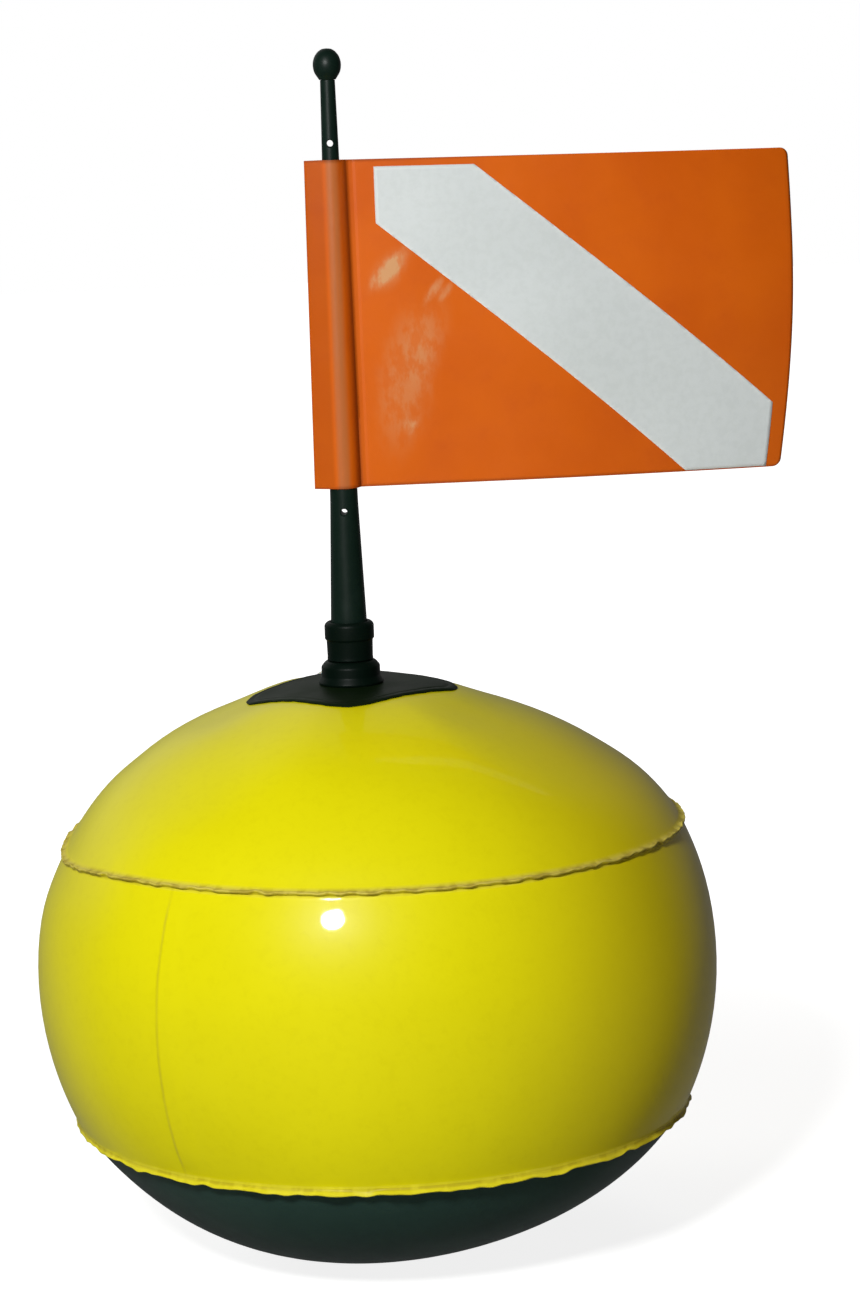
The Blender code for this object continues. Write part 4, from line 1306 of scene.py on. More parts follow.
        for name, line, weld, finish in (
            ("top_panel", self.top_line, top_weld, PANEL_YELLOW),
            ("side_band", self.band_line, band_weld, PANEL_YELLOW),
            ("bottom_panel", self.bottom_line, bottom_weld, PANEL_BLACK),
        ):
            panel = self.panel(line, weld)
            bench.piece(f"{name}_sheet", panel, finish, Body.BALL, name, self.shape.sheet, sharp=70.0)
        bench.dress_node("ballast_weight", WEIGHT_IRON)
        bench.dress_node("ballast_pocket", PANEL_BLACK)


# ---- the mast's socket


@dataclass(frozen=True)
class MastShape:
    """The mast's sizes, with heights above its shoulder."""

    spigot_radius: float = 0.0070
    spigot_length: float = 0.049
    spigot_chamfer: float = 0.0012
    shoulder: float = 0.0019
    waist_height: float = 0.058
    waist_radius: float = 0.0069
    length: float = 0.264
    tip_radius: float = 0.0036
    pin_radius: float = 0.0024
    pin_length: float = 0.008
    hole_radius: float = 0.0016
    hole_heights: Pair = (0.2335, 0.0540)
    front_azimuth: float = math.radians(-98)

    @cached_property
    def foot_radius(self) -> float:
        """The mast's radius at its shoulder."""
        return self.spigot_radius + self.shoulder

    def radius(self, z: float) -> float:
        """The mast's radius at a height above its shoulder."""
        if z < self.waist_height:
            return self.foot_radius + (self.waist_radius - self.foot_radius) * z / self.waist_height
        share = (z - self.waist_height) / (self.length - self.waist_height)
        return self.waist_radius + (self.tip_radius - self.waist_radius) * share


@dataclass(frozen=True)
class SocketShape:
    """The socket's sizes, with heights above the top of the patch."""

    tube_wall: float = 0.0023
    tube_top: float = 0.027
    cup_floor: float = 0.002
    running_gap: float = 0.00035
    sleeve_wall: float = 0.0015
    sleeve_lip: float = 0.0008
    lip_height: float = 0.0085
    sleeve_rise: float = 0.0033
    chamfer: float = 0.0015
    ring_step: float = 0.0031
    ring_top: float = 0.008
    ring_shoulder: float = 0.0028
    foot_step: float = 0.0016
    foot_height: float = 0.002
    patch_side: float = 0.086
    patch_corner: float = 0.020


@dataclass(frozen=True)
class Socket:
    """The patch on the top dome, the stepped boss on it and the soft sleeve."""

    ball: BallShape
    mast: MastShape
    sizes: SocketShape
    steps: int = 128
    patch_steps: int = 256
    patch_rings: int = 30
    patch_span: float = 0.06
    patch_crowding: float = 1.6
    edge_wave: float = 0.00035
    edge_dip: float = 0.00045
    edge_reach: float = 0.0012
    weld_inset: float = 0.0042
    weld_dip: float = 0.00022
    seat_points: int = 7

    @cached_property
    def base_z(self) -> float:
        """The height that the socket's own heights start from."""
        return self.ball.apex_z + self.ball.gap + self.ball.sheet + self.ball.gap

    @cached_property
    def shoulder_z(self) -> float:
        """The height of the mast's shoulder."""
        return self.base_z + self.sizes.tube_top + self.ball.gap

    @cached_property
    def tube_radius(self) -> float:
        """The tube's outer radius."""
        return self.mast.spigot_radius + self.sizes.running_gap + self.sizes.tube_wall

    @cached_property
    def sleeve_radius(self) -> float:
        """The sleeve's outer radius below its lip."""
        return self.tube_radius + self.ball.gap + self.sizes.sleeve_wall

    def patch_edge(self, azimuth: float) -> float:
        """How far the patch's rounded square reaches from the mast's axis at an azimuth."""
        half, round_radius = self.sizes.patch_side / 2, self.sizes.patch_corner
        quarter = math.pi / 4
        angle = abs((azimuth - self.mast.front_azimuth + quarter) % (math.pi / 2) - quarter)
        centre = math.sqrt(2) * (half - round_radius)
        away = centre * math.sin(angle)
        if angle <= quarter - math.atan2(half - round_radius, half) and away <= round_radius:
            return centre * math.cos(angle) + math.sqrt(round_radius**2 - away**2)
        return half / math.cos(quarter - angle)

    def build_patch(self, bench: Bench) -> None:
        """Makes the patch: rings from the socket's hole to the rounded square's edge."""
        ball, inner = self.ball, self.tube_radius + self.ball.gap
        span = self.patch_span - inner
        profile = [(inner + span * i / self.patch_rings, 0.0) for i in range(self.patch_rings + 1)]
        bm = spun(profile, self.patch_steps)
        press = bm.verts.layers.float.new("press")
        for vert in bm.verts:
            azimuth = math.atan2(vert.co.y, vert.co.x)
            share = 1 - (math.hypot(vert.co.x, vert.co.y) - inner) / span
            edge = self.patch_edge(azimuth)
            edge += self.edge_wave * math.sin(23 * azimuth) * math.sin(9 * azimuth + 1.3)
            radius = inner + (edge - inner) * (1 - max(0.0, share) ** self.patch_crowding)
            from_edge = edge - radius
            stand = ball.gap + ball.sheet
            stand -= self.edge_dip * (1 - smooth_step(0.0, self.edge_reach, from_edge))
            stand -= self.weld_dip * hump(from_edge, self.weld_inset, 0.0007)
            radius, drop = ball.dome_point(radius, stand)
            vert.co = ball.settled(polar(radius, azimuth, ball.apex_z - drop))
            vert[press] = hump(from_edge, self.weld_inset, 0.0009)
        faced_out(bm, ball.middle)
        bench.piece("top_patch_sheet", bm, PATCH_BLACK, Body.BALL, "top_patch", ball.sheet, sharp=60.0)

    def build_base(self, bench: Bench) -> None:
        """Makes the stepped boss, with its tube and its closed cup."""
        sizes, gap, tube = self.sizes, self.ball.gap, self.tube_radius
        bore = self.mast.spigot_radius + sizes.running_gap
        neck = self.sleeve_radius + gap
        ring = self.sleeve_radius + sizes.ring_step
        foot = ring + sizes.foot_step
        floor = sizes.tube_top + gap - self.mast.spigot_length - sizes.running_gap
        shoulder = sizes.ring_top + sizes.ring_shoulder
        seat = []
        for radius in np.linspace(foot - 0.0004, tube, self.seat_points):
            reach, drop = self.ball.dome_point(float(radius), gap * 1.2 + self.ball.sheet)
            seat.append((reach, self.ball.apex_z - self.base_z - drop))
        profile = [
            (0.0, floor), (bore, floor), (bore, sizes.tube_top), (tube, sizes.tube_top), (tube, shoulder),
            (neck, shoulder), (neck + 0.0010, shoulder - 0.0006), (ring, sizes.ring_top),
            (ring, sizes.foot_height + 0.0012), (ring + 0.0004, sizes.foot_height + 0.0004),
            (foot, seat[0][1] + sizes.foot_height / 2),
            *seat,
            (tube, floor - sizes.cup_floor), (0.0, floor - sizes.cup_floor),
        ]
        bm = raised(moulded(profile, self.steps, 0.0007), self.base_z - self.ball.sink)
        bench.piece("socket_boss", bm, SOCKET_PLASTIC, Body.BALL, "socket_base")

    def build_sleeve(self, bench: Bench) -> None:
        """Makes the soft sleeve with its thick lip."""
        sizes, gap, outer = self.sizes, self.ball.gap, self.sleeve_radius
        bottom = sizes.ring_top + sizes.ring_shoulder + gap
        top = sizes.tube_top + sizes.sleeve_rise
        low = top - sizes.lip_height
        mouth = self.mast.foot_radius + sizes.running_gap
        lip = outer + sizes.sleeve_lip
        inner, step = self.tube_radius + gap, sizes.tube_top + gap
        profile = [
            (mouth, top), (lip - sizes.chamfer, top), (lip, top - sizes.chamfer), (lip, low),
            (outer, low - sizes.sleeve_lip), (outer - 0.0002, bottom + 0.0016), (outer, bottom),
            (inner, bottom), (inner, step), (mouth, step),
        ]
        bm = raised(moulded(profile, self.steps, 0.0009, 5, True), self.base_z - self.ball.sink)
        bench.piece("socket_collar", bm, SLEEVE_RUBBER, Body.BALL, "socket_sleeve")

    def build(self, bench: Bench) -> None:
        """Makes the socket's pieces."""
        self.build_patch(bench)
        self.build_base(bench)
        self.build_sleeve(bench)


# ---- the mast


@dataclass(frozen=True)
class Mast:
    """The tapered mast and the knob on its tip."""

    sizes: MastShape
    shoulder_z: float
    sink: float
    gap: float = 0.0003
    steps: int = 96
    drill_steps: int = 40
    drill_reach: float = 0.012
    countersink: float = 0.0005
    flank_rows: int = 60
    knob_height: float = 0.015
    knob_radius: float = 0.0069
    knob_rows: int = 48
    knob_shares: tuple[Pair, ...] = (
        (0.0, 1.0), (0.34, 0.985), (0.62, 0.90), (0.86, 0.76), (0.99, 0.58),
        (1.00, 0.42), (0.93, 0.25), (0.76, 0.12), (0.62, 0.03), (0.58, 0.00),
    )

    def drill(self, z: float) -> Mesh:
        """A drill for the cross hole at a height, wider where it enters and leaves."""
        sizes, reach = self.sizes, self.sizes.radius(z)
        wide = sizes.hole_radius + self.countersink
        half = [
            (0.0, self.drill_reach), (wide, self.drill_reach),
            (wide, reach - 0.0001), (sizes.hole_radius, reach - 0.0007),
        ]
        profile = half + [(radius, -height) for radius, height in reversed(half)]
        turn = Matrix.Rotation(sizes.front_azimuth, 4, "Z") @ Matrix.Rotation(math.pi / 2, 4, "Y")
        return moved(spun(profile, self.drill_steps), Matrix.Translation((0.0, 0.0, z)) @ turn)

    def build_mast(self, bench: Bench) -> None:
        """Makes the mast: a turned taper, drilled through at two heights."""
        sizes, spigot = self.sizes, self.sizes.spigot_radius
        tip, end = sizes.length + sizes.pin_length, -sizes.spigot_length
        heights = np.linspace(sizes.length - 0.001, 0.0008, self.flank_rows)
        flank = [(sizes.radius(z), z) for z in heights]
        profile = [
            (0.0, tip), (sizes.pin_radius, tip), (sizes.pin_radius, sizes.length),
            (sizes.tip_radius, sizes.length), *flank, (sizes.foot_radius, -self.sink), (spigot, -self.sink),
            (spigot, sizes.spigot_chamfer + end), (spigot - sizes.spigot_chamfer, end), (0.0, end),
        ]
        drills = [self.drill(z) for z in sizes.hole_heights]
        bm = raised(carved(moulded(profile, self.steps, 0.0005, 3), drills), self.shoulder_z)
        bench.piece("mast_pole", bm, MAST_PLASTIC, Body.MAST, "mast", sharp=35.0)

    def build_knob(self, bench: Bench) -> None:
        """Makes the acorn knob, with a blind bore for the mast's pin."""
        sizes = self.sizes
        bore = sizes.pin_radius + self.gap
        line = relaxed(resampled([Vector(share) for share in self.knob_shares], self.knob_rows), 6)
        profile = [(self.knob_radius * point.x, self.knob_height * point.y) for point in line]
        profile[0] = (0.0, profile[0][1])
        profile += [(bore, 0.0), (bore, sizes.pin_length), (0.0, sizes.pin_length)]
        bm = raised(spun(profile, self.steps), self.shoulder_z + sizes.length + HAIR)
        bench.piece("mast_cap", bm, MAST_PLASTIC, Body.MAST, "mast_knob", sharp=45.0)

    def build(self, bench: Bench) -> None:
        """Makes the mast's pieces."""
        self.build_mast(bench)
        self.build_knob(bench)


# ---- the flag


@dataclass(frozen=True)
class Flag:
    """The flag's sheet, folded round the mast and welded back, and its stripe."""

    mast: MastShape
    shoulder_z: float
    drop: float = 0.0385
    height: float = 0.160
    reach: float = 0.226
    fold: float = 0.0132
    fold_lean: float = 0.0012
    sheet: float = 0.0005
    clearance: float = 0.0005
    corner: float = 0.004
    crease_top: float = 0.0024
    crease_bottom: float = 0.0012
    weld_margin: float = 0.005
    bow: float = 0.005
    curl: float = 0.009
    slack: float = 0.0011
    slack_waves: Pair = (15.0, 17.0)
    stripe_width: float = 0.052
    stripe_angle: float = math.radians(39.6)
    stripe_start: float = 0.0205
    stripe_top_end: float = 0.0689
    fly_margin: float = 0.0076
    top_margin: float = 0.0037
    bottom_margin: float = 0.0006
    film: float = 0.00015
    film_gap: float = 0.00004
    fly_top: float = 0.0024
    fly_bottom: float = 0.0068
    fly_swell: float = 0.0026
    taper: float = 0.0165
    plate_columns: int = 150
    wrap_columns: int = 90
    hem_columns: int = 6
    round_columns: int = 24
    edge_rows: int = 8
    middle_rows: int = 76
    film_grid: tuple[int, int] = (110, 84)
    # the painted glare patches: place, size, slant and strength of each
    painted_glares: tuple[tuple[float, ...], ...] = (
        (0.0235, 0.1040, 0.0092, 0.0034, math.radians(50), 0.95),
        (0.0300, 0.1085, 0.0095, 0.0032, math.radians(50), 0.90),
        (0.0270, 0.1060, 0.0110, 0.0065, math.radians(50), 0.30),
        (0.0480, 0.0950, 0.0070, 0.0022, math.radians(52), 0.60),
        (0.0535, 0.0940, 0.0050, 0.0018, math.radians(52), 0.50),
        (0.0340, 0.0290, 0.0038, 0.0028, math.radians(60), 0.75),
        (0.0330, 0.0520, 0.0320, 0.0125, math.radians(80), 0.34),
        (0.0430, 0.0700, 0.0200, 0.0090, math.radians(70), 0.22),
    )

    @cached_property
    def raise_z(self) -> float:
        """The flag's bottom edge above the mast's shoulder."""
        return self.mast.length - self.drop - self.height

    def plate_y(self, x: float, z: float, crease: float) -> float:
        """How far the open flag stands back.

        Args:
            x: the reach from the mast's axis.
            z: the height above the bottom edge.
            crease: the reach where the open part starts.

        Returns:
            The distance behind the mast's axis.
        """
        share = max(0.0, (x - crease) / (self.reach - crease))
        even = self.curl * share**6 * (z / self.height) ** 2 - self.bow * math.sin(math.pi * share)
        place = Vector((x * self.slack_waves[0], 3.1, z * self.slack_waves[1]))
        slack = self.slack * noise.noise(place)
        return even + slack * smooth_step(0.0, 0.15, share)

    def section(self, z: float) -> Pair:
        """The sleeve's mid radius and its crease's reach at a height above the bottom edge."""
        radius = self.mast.radius(self.raise_z + z) + self.clearance + self.sheet / 2
        slack = self.crease_bottom + (self.crease_top - self.crease_bottom) * z / self.height
        return radius, radius + slack

    def layer(self, z: float, side: int, crease_y: float) -> list[Vector]:
        """One layer of the sleeve in plan, from the fold round the mast to the crease.

        Args:
            z: the height above the bottom edge.
            side: -1 for the front, 1 for the back.
            crease_y: how far back the crease is.

        Returns:
            The points.
        """
        radius, crease = self.section(z)
        fold = self.fold + self.fold_lean * (1 - z / self.height)
        start, end = math.pi - math.acos(radius / fold), math.acos(radius / crease)
        about = [Vector((x, side * y)) for x, y in arc(radius, start, end, self.round_columns)]
        return [Vector((-fold, side * self.sheet * 0.5)), *about, Vector((crease, crease_y))]

    def cut(self, z: float) -> float:
        """The flag's reach at a height: its fly leans in at the bottom and swells a little."""
        rise = z / self.height
        lean = self.fly_top * rise - self.fly_bottom * (1 - rise) ** 2
        return self.reach + lean + self.fly_swell * math.sin(math.pi * rise)

    def fly(self, z: float) -> float:
        """The flag's reach at a height, with its rounded corners."""
        from_edge = min(z, self.height - z)
        if from_edge >= self.corner:
            return self.cut(z)
        return self.cut(z) - self.corner + math.sqrt(self.corner**2 - (self.corner - from_edge) ** 2)

    def spread(self, x: float, z: float) -> float:
        """Where a reach of the even flag lies in the cut one."""
        crease = self.section(z)[1]
        return crease + (x - crease) * (self.cut(z) - crease) / (self.reach - crease)

    def narrowed(self, x: float, z: float) -> float:
        """The height of a point of the flag, whose top edge falls a little towards the fly."""
        return z * (1 - self.taper * max(0.0, x) / self.reach)

    def row(self, z: float) -> list[Vector]:
        """The sheet's line at one height, from the hem's end round the mast to the fly.

        Args:
            z: the height above the bottom edge.

        Returns:
            The points, as many at every height.
        """
        behind = self.sheet * 0.92
        crease, fly = self.section(z)[1], self.fly(z)
        hem_end = crease + self.weld_margin
        hem = []
        for share in (i / self.hem_columns for i in range(self.hem_columns)):
            back = self.plate_y(hem_end, z, crease) * (1 - share) + behind
            hem.append(Vector((hem_end - (hem_end - crease) * share, back)))
        sleeve = [*hem, *reversed(self.layer(z, 1, behind)), *self.layer(z, -1, 0.0)]
        line = relaxed(resampled(sleeve, self.wrap_columns), 3)
        for i in range(1, self.plate_columns + 1):
            x = crease + (fly - crease) * i / self.plate_columns
            line.append(Vector((x, self.plate_y(x, z, crease))))
        return [Vector((point.x, point.y, self.narrowed(point.x, z))) for point in line]

    def heights(self) -> list[float]:
        """The heights of the sheet's rows, closer at the two edges for the corners."""
        turns = [math.pi / 2 * i / self.edge_rows for i in range(self.edge_rows)]
        edge = [self.corner * (1 - math.cos(turn)) for turn in turns]
        middle = list(np.linspace(self.corner, self.height - self.corner, self.middle_rows))
        return edge + middle + [self.height - z for z in reversed(edge)]

    def painted_glare(self, place: Vector) -> float:
        """How much painted glare the flag gets at a place, in patches beside the sleeve where its wavy sheet
        catches the key lamp.
        """
        total = 0.0
        for x, z, wide, tall, slant, strength in self.painted_glares:
            across, up = place.x - x, place.z - z
            run = (across * math.cos(slant) + up * math.sin(slant)) / wide
            side = (up * math.cos(slant) - across * math.sin(slant)) / tall
            total += strength * hump(run * run + side * side, 0.0, 1.0)
        return total

    def painted_darkening(self, place: Vector, crease: float) -> float:
        """Painted shade on the front: dark at the crease, over the fold's strip and at the lower fly corner
        that curls from the light, and darker along the edges.
        """
        edge = min(self.fly(place.z) - place.x, place.z, self.height - place.z)
        # painted shade at the crease, the fold strip and the lower fly corner; the edges are only made darker
        return max(
            hump(place.x - crease, -0.0006, 0.0016),
            0.38 * (1 - smooth_step(-0.0055, -0.0035, place.x)),
            0.75 * (1 - smooth_step(0.0003, 0.0020, edge)),
            0.28 * hump(math.hypot(place.x - self.reach, place.z), 0.0, 0.075),
        )

    def build_sheet(self, bench: Bench) -> bpy.types.Object:
        """Makes the orange sheet."""
        heights = self.heights()
        rows = [self.row(z) for z in heights]
        runs = [lengths(line) for line in rows]
        creases = [self.section(z)[1] for z in heights]
        wrap, half, most = self.wrap_columns, self.wrap_columns * 0.5, self.wrap_columns * 0.75

        def run_at(column: int, row: int) -> float:
            """The length along the sheet."""
            return runs[row][column]

        def press_at(column: int, row: int) -> float:
            """The weld's pressed line beside the sleeve."""
            return hump(rows[row][column].x - creases[row], 0.0026, 0.0011) if column > most else 0.0

        def painted_glare_at(column: int, row: int) -> float:
            """The painted glare patches beside the sleeve."""
            return 0.0 if column < most else self.painted_glare(rows[row][column])

        def painted_sheen_at(column: int, row: int) -> float:
            """The painted sheen streak down the front of the sleeve, where the round sleeve faces the key
            lamp.
            """
            place = rows[row][column]
            return hump(place.x, -0.0002, 0.0030, 4) if half < column < wrap and place.y < 0 else 0.0

        def painted_shade_at(column: int, row: int) -> float:
            """Painted shade: the dark line where the sleeve meets the open flag, the fold strip and the lower
            fly corner, and the darker edges.
            """
            place = rows[row][column]
            hidden = column < half or (column < wrap and place.y > 0)
            return 0.0 if hidden else self.painted_darkening(place, creases[row])

        marks = {"run": run_at, "press": press_at, "painted_glare": painted_glare_at, "crease": painted_shade_at, "painted_sheen": painted_sheen_at}
        bm = raised(sheet_of(rows, marks), self.shoulder_z + self.raise_z)
        return bench.piece("flag_cloth", bm, FLAG_ORANGE, Body.FLAG, "flag_sheet", self.sheet, 0.0, 60.0)

    def build_stripe(self, bench: Bench, name: str, side: int) -> bpy.types.Object:
        """Makes the white diagonal on one face, cut from a film over the flag.

        Args:
            bench: where pieces go.
            name: the CAD node that it replaces.
            side: -1 for the front, 1 for the back.

        Returns:
            The film's object.
        """
        start, end = self.stripe_start, self.reach - self.fly_margin
        low, high = self.bottom_margin, self.height - self.top_margin
        bm = bmesh.new()
        bmesh.ops.create_grid(bm, x_segments=self.film_grid[0], y_segments=self.film_grid[1], size=1.0)
        for vert in bm.verts:
            x, z = start + (end - start) * (vert.co.x + 1) / 2, low + (high - low) * (vert.co.y + 1) / 2
            vert.co = Vector((x, 0.0, z))
        slant = Vector((math.sin(self.stripe_angle), 0.0, math.cos(self.stripe_angle)))
        upper = Vector((self.stripe_top_end, 0.0, high))
        lower = upper - slant * self.stripe_width
        for place, normal in ((upper, slant), (lower, -slant)):
            geom = [*bm.verts, *bm.edges, *bm.faces]
            bmesh.ops.bisect_plane(
                bm, geom=geom, dist=MERGE, plane_co=place, plane_no=normal, clear_outer=True
            )
        bmesh.ops.remove_doubles(bm, verts=bm.verts, dist=MERGE)
        rim = bm.verts.layers.float.new("rim")
        stand = side * (self.sheet / 2 + self.film_gap + self.film / 2)
        for vert in bm.verts:
            place = vert.co.copy()
            sides = (place.x - start, end - place.x, place.z - low, high - place.z)
            from_edge = min((upper - place).dot(slant), (place - lower).dot(slant), *sides)
            vert[rim] = 1 - smooth_step(0.0002, 0.0014, from_edge)
            x = self.spread(place.x, place.z)
            y = self.plate_y(x, place.z, self.section(place.z)[1]) + stand
            vert.co = Vector((x, y, self.narrowed(x, place.z)))
        raised(bm, self.shoulder_z + self.raise_z)
        return bench.piece(f"{name}_film", bm, STRIPE_WHITE, Body.FLAG, name, self.film, 0.0, 60.0)

    def build(self, bench: Bench) -> None:
        cloth = self.build_sheet(bench)
        sides = {"flag_stripe_front": -1, "flag_stripe_back": 1}
        stripes = [self.build_stripe(bench, name, side) for name, side in sides.items()]
        width = lengths(self.row(self.height / 2))[-1]
        LOG.info("flag: cut %.1f by %.1f mm", width * 1000, self.height * 1000)


# ---- the mouth valve


def block(low: Sequence[float], high: Sequence[float], round_edge: float) -> Mesh:
    """A small block between two corners, with its edges rounded by a size."""
    bm = bmesh.new()
    bmesh.ops.create_cube(bm, size=1.0)
    size, middle = Vector(high) - Vector(low), (Vector(high) + Vector(low)) / 2
    bmesh.ops.scale(bm, vec=size, verts=bm.verts)
    edges = list(bm.edges)
    bmesh.ops.bevel(
        bm, geom=edges, offset=round_edge, segments=3, affect="EDGES", profile=0.5, material=-1
    )
    bmesh.ops.translate(bm, vec=middle, verts=bm.verts)
    return bm


@dataclass(frozen=True)
class Valve:
    """The mouth valve behind on the top dome."""

    ball: BallShape
    inset: float = 0.0485
    flange_radius: float = 0.015
    flange: float = 0.001
    groove: float = 0.0003
    bore: float = 0.0042
    wall: float = 0.002
    height: float = 0.011
    depth: float = 0.012
    chamfer: float = 0.0005
    fillet: float = 0.0008
    collar_width: float = 0.0022
    collar_height: float = 0.0024
    strap_half: float = 0.0025
    strap: float = 0.0012
    strap_gap: float = 0.0015
    hinge_gap: float = 0.0002
    plug_radius: float = 0.0076
    plug_head: float = 0.0022
    plug_chamfer: float = 0.0006
    plug_dish: float = 0.0004
    pin_length: float = 0.005
    pin_taper: float = 0.00145
    tongue: float = 0.001
    plug_lip: float = 0.003
    plug_lip_thickness: float = 0.0014
    running_gap: float = 0.00035
    edge_round: float = 0.0003
    steps: int = 80

    @cached_property
    def reach(self) -> float:
        """The valve's distance from the ball's axis."""
        return self.ball.seam_radius - self.inset

    @cached_property
    def seat(self) -> Matrix:
        """The valve's own place, with Z off the dome."""
        place = (0.0, self.reach, self.ball.apex_z - self.ball.drop(self.reach))
        return Matrix.Translation(place) @ Matrix.Rotation(-self.ball.slope(self.reach), 4, "X")

    @cached_property
    def stem_radius(self) -> float:
        """The stem's outer radius."""
        return self.bore + self.wall

    @cached_property
    def collar_radius(self) -> float:
        """The collar ring's outer radius."""
        return self.stem_radius + self.ball.gap + self.collar_width

    @cached_property
    def strap_y(self) -> float:
        """The reach of the strap's near face."""
        return max(self.plug_radius, self.collar_radius) + self.strap_gap

    @cached_property
    def hinge(self) -> Pair:
        """The plug's hinge line, as reach and height."""
        y = self.strap_y + self.strap + self.hinge_gap
        return y, self.height + self.ball.gap + self.plug_head / 2 - self.hinge_gap

    def build_base(self, bench: Bench) -> None:
        """Makes the stem, with a flange that is laid on the dome."""
        gap, height, stem, rim = self.ball.gap, self.height, self.stem_radius, self.flange_radius
        bore, cut = self.bore, self.chamfer
        top = gap + self.flange
        low = top - self.groove
        profile = [
            (bore + cut, height), (stem - cut, height), (stem, height - cut),
            (stem, top + self.fillet), (stem + self.fillet, top), (rim - 0.0032, top), (rim - 0.0028, low),
            (rim - 0.0008, low), (rim - 0.0005, top), (rim, low), (rim, gap), (stem, gap),
            (stem, -self.depth), (bore, -self.depth), (bore, height - cut),
        ]
        bm = moulded(profile, self.steps, 0.0003, 3, True)
        slope = self.ball.slope(self.reach)
        for vert in bm.verts:
            x, y, z = vert.co
            if z > -self.flange and math.hypot(x, y) > stem + 0.0004:
                away = math.hypot(x, self.reach + y * math.cos(slope))
                fall = self.ball.drop(away) - self.ball.drop(self.reach)
                vert.co.z += (y * math.sin(slope) - fall) * math.cos(slope)
        bench.piece("valve_stem", moved(bm, self.seat), VALVE_MILKY, Body.BALL, "valve_base")

    def build_collar(self, bench: Bench) -> None:
        """Makes the ring round the stem and the strap up to the plug."""
        low = self.ball.gap * 2 + self.flange
        top = low + self.collar_height
        inner, outer = self.stem_radius + self.ball.gap, self.collar_radius
        bm = moulded([(inner, top), (outer, top), (outer, low), (inner, low)], self.steps, 0.0006, 4, True)
        half, far = self.strap_half, self.strap_y + self.strap
        rise = self.hinge[1] - self.hinge_gap
        arm = block((-half, (inner + outer) / 2, low), (half, far, low + self.strap), self.edge_round)
        post = block((-half, self.strap_y, low), (half, far, rise), self.edge_round)
        bm = moved(joined(bm, (arm, post)), self.seat)
        bench.piece("valve_collar_ring", bm, VALVE_MILKY, Body.BALL, "valve_collar")

    def build_plug(self, bench: Bench) -> None:
        """Makes the plug with its pin, finger lip and tongue."""
        bottom, head = self.height + self.ball.gap, self.plug_radius
        top, end = bottom + self.plug_head, bottom - self.pin_length
        pin, dish = self.bore - self.running_gap, top - self.plug_dish
        profile = [
            (0.0, dish), (head - 0.0022, dish), (head - 0.0017, top), (head - self.plug_chamfer, top),
            (head, top - self.plug_chamfer), (head, bottom), (pin, bottom), (pin, bottom - 0.0012),
            (pin - 0.0003, bottom - 0.0016), (pin - self.pin_taper, end), (0.0, end),
        ]
        half, low = self.strap_half, self.hinge[1] + self.hinge_gap
        near = self.hinge[0] - self.hinge_gap
        tongue = block((-half, head / 2, low), (half, near, low + self.tongue), self.edge_round)
        lip_low = bottom + (self.plug_head - self.plug_chamfer - self.plug_lip_thickness) / 2
        lip_high = lip_low + self.plug_lip_thickness
        lip = block((-half, -head - self.plug_lip, lip_low), (half, -head / 2, lip_high), 0.0004)
        bm = moved(joined(moulded(profile, self.steps, 0.0005, 3), (tongue, lip)), self.seat)
        bench.piece("valve_stopper", bm, VALVE_MILKY, Body.PLUG, "valve_plug")

    def build(self, bench: Bench) -> None:
        """Makes the valve's pieces; its flap inside stays a CAD node."""
        self.build_base(bench)
        self.build_collar(bench)
        self.build_plug(bench)
        bench.dress_node("valve_flap", VALVE_MILKY)


# ---- the tow point


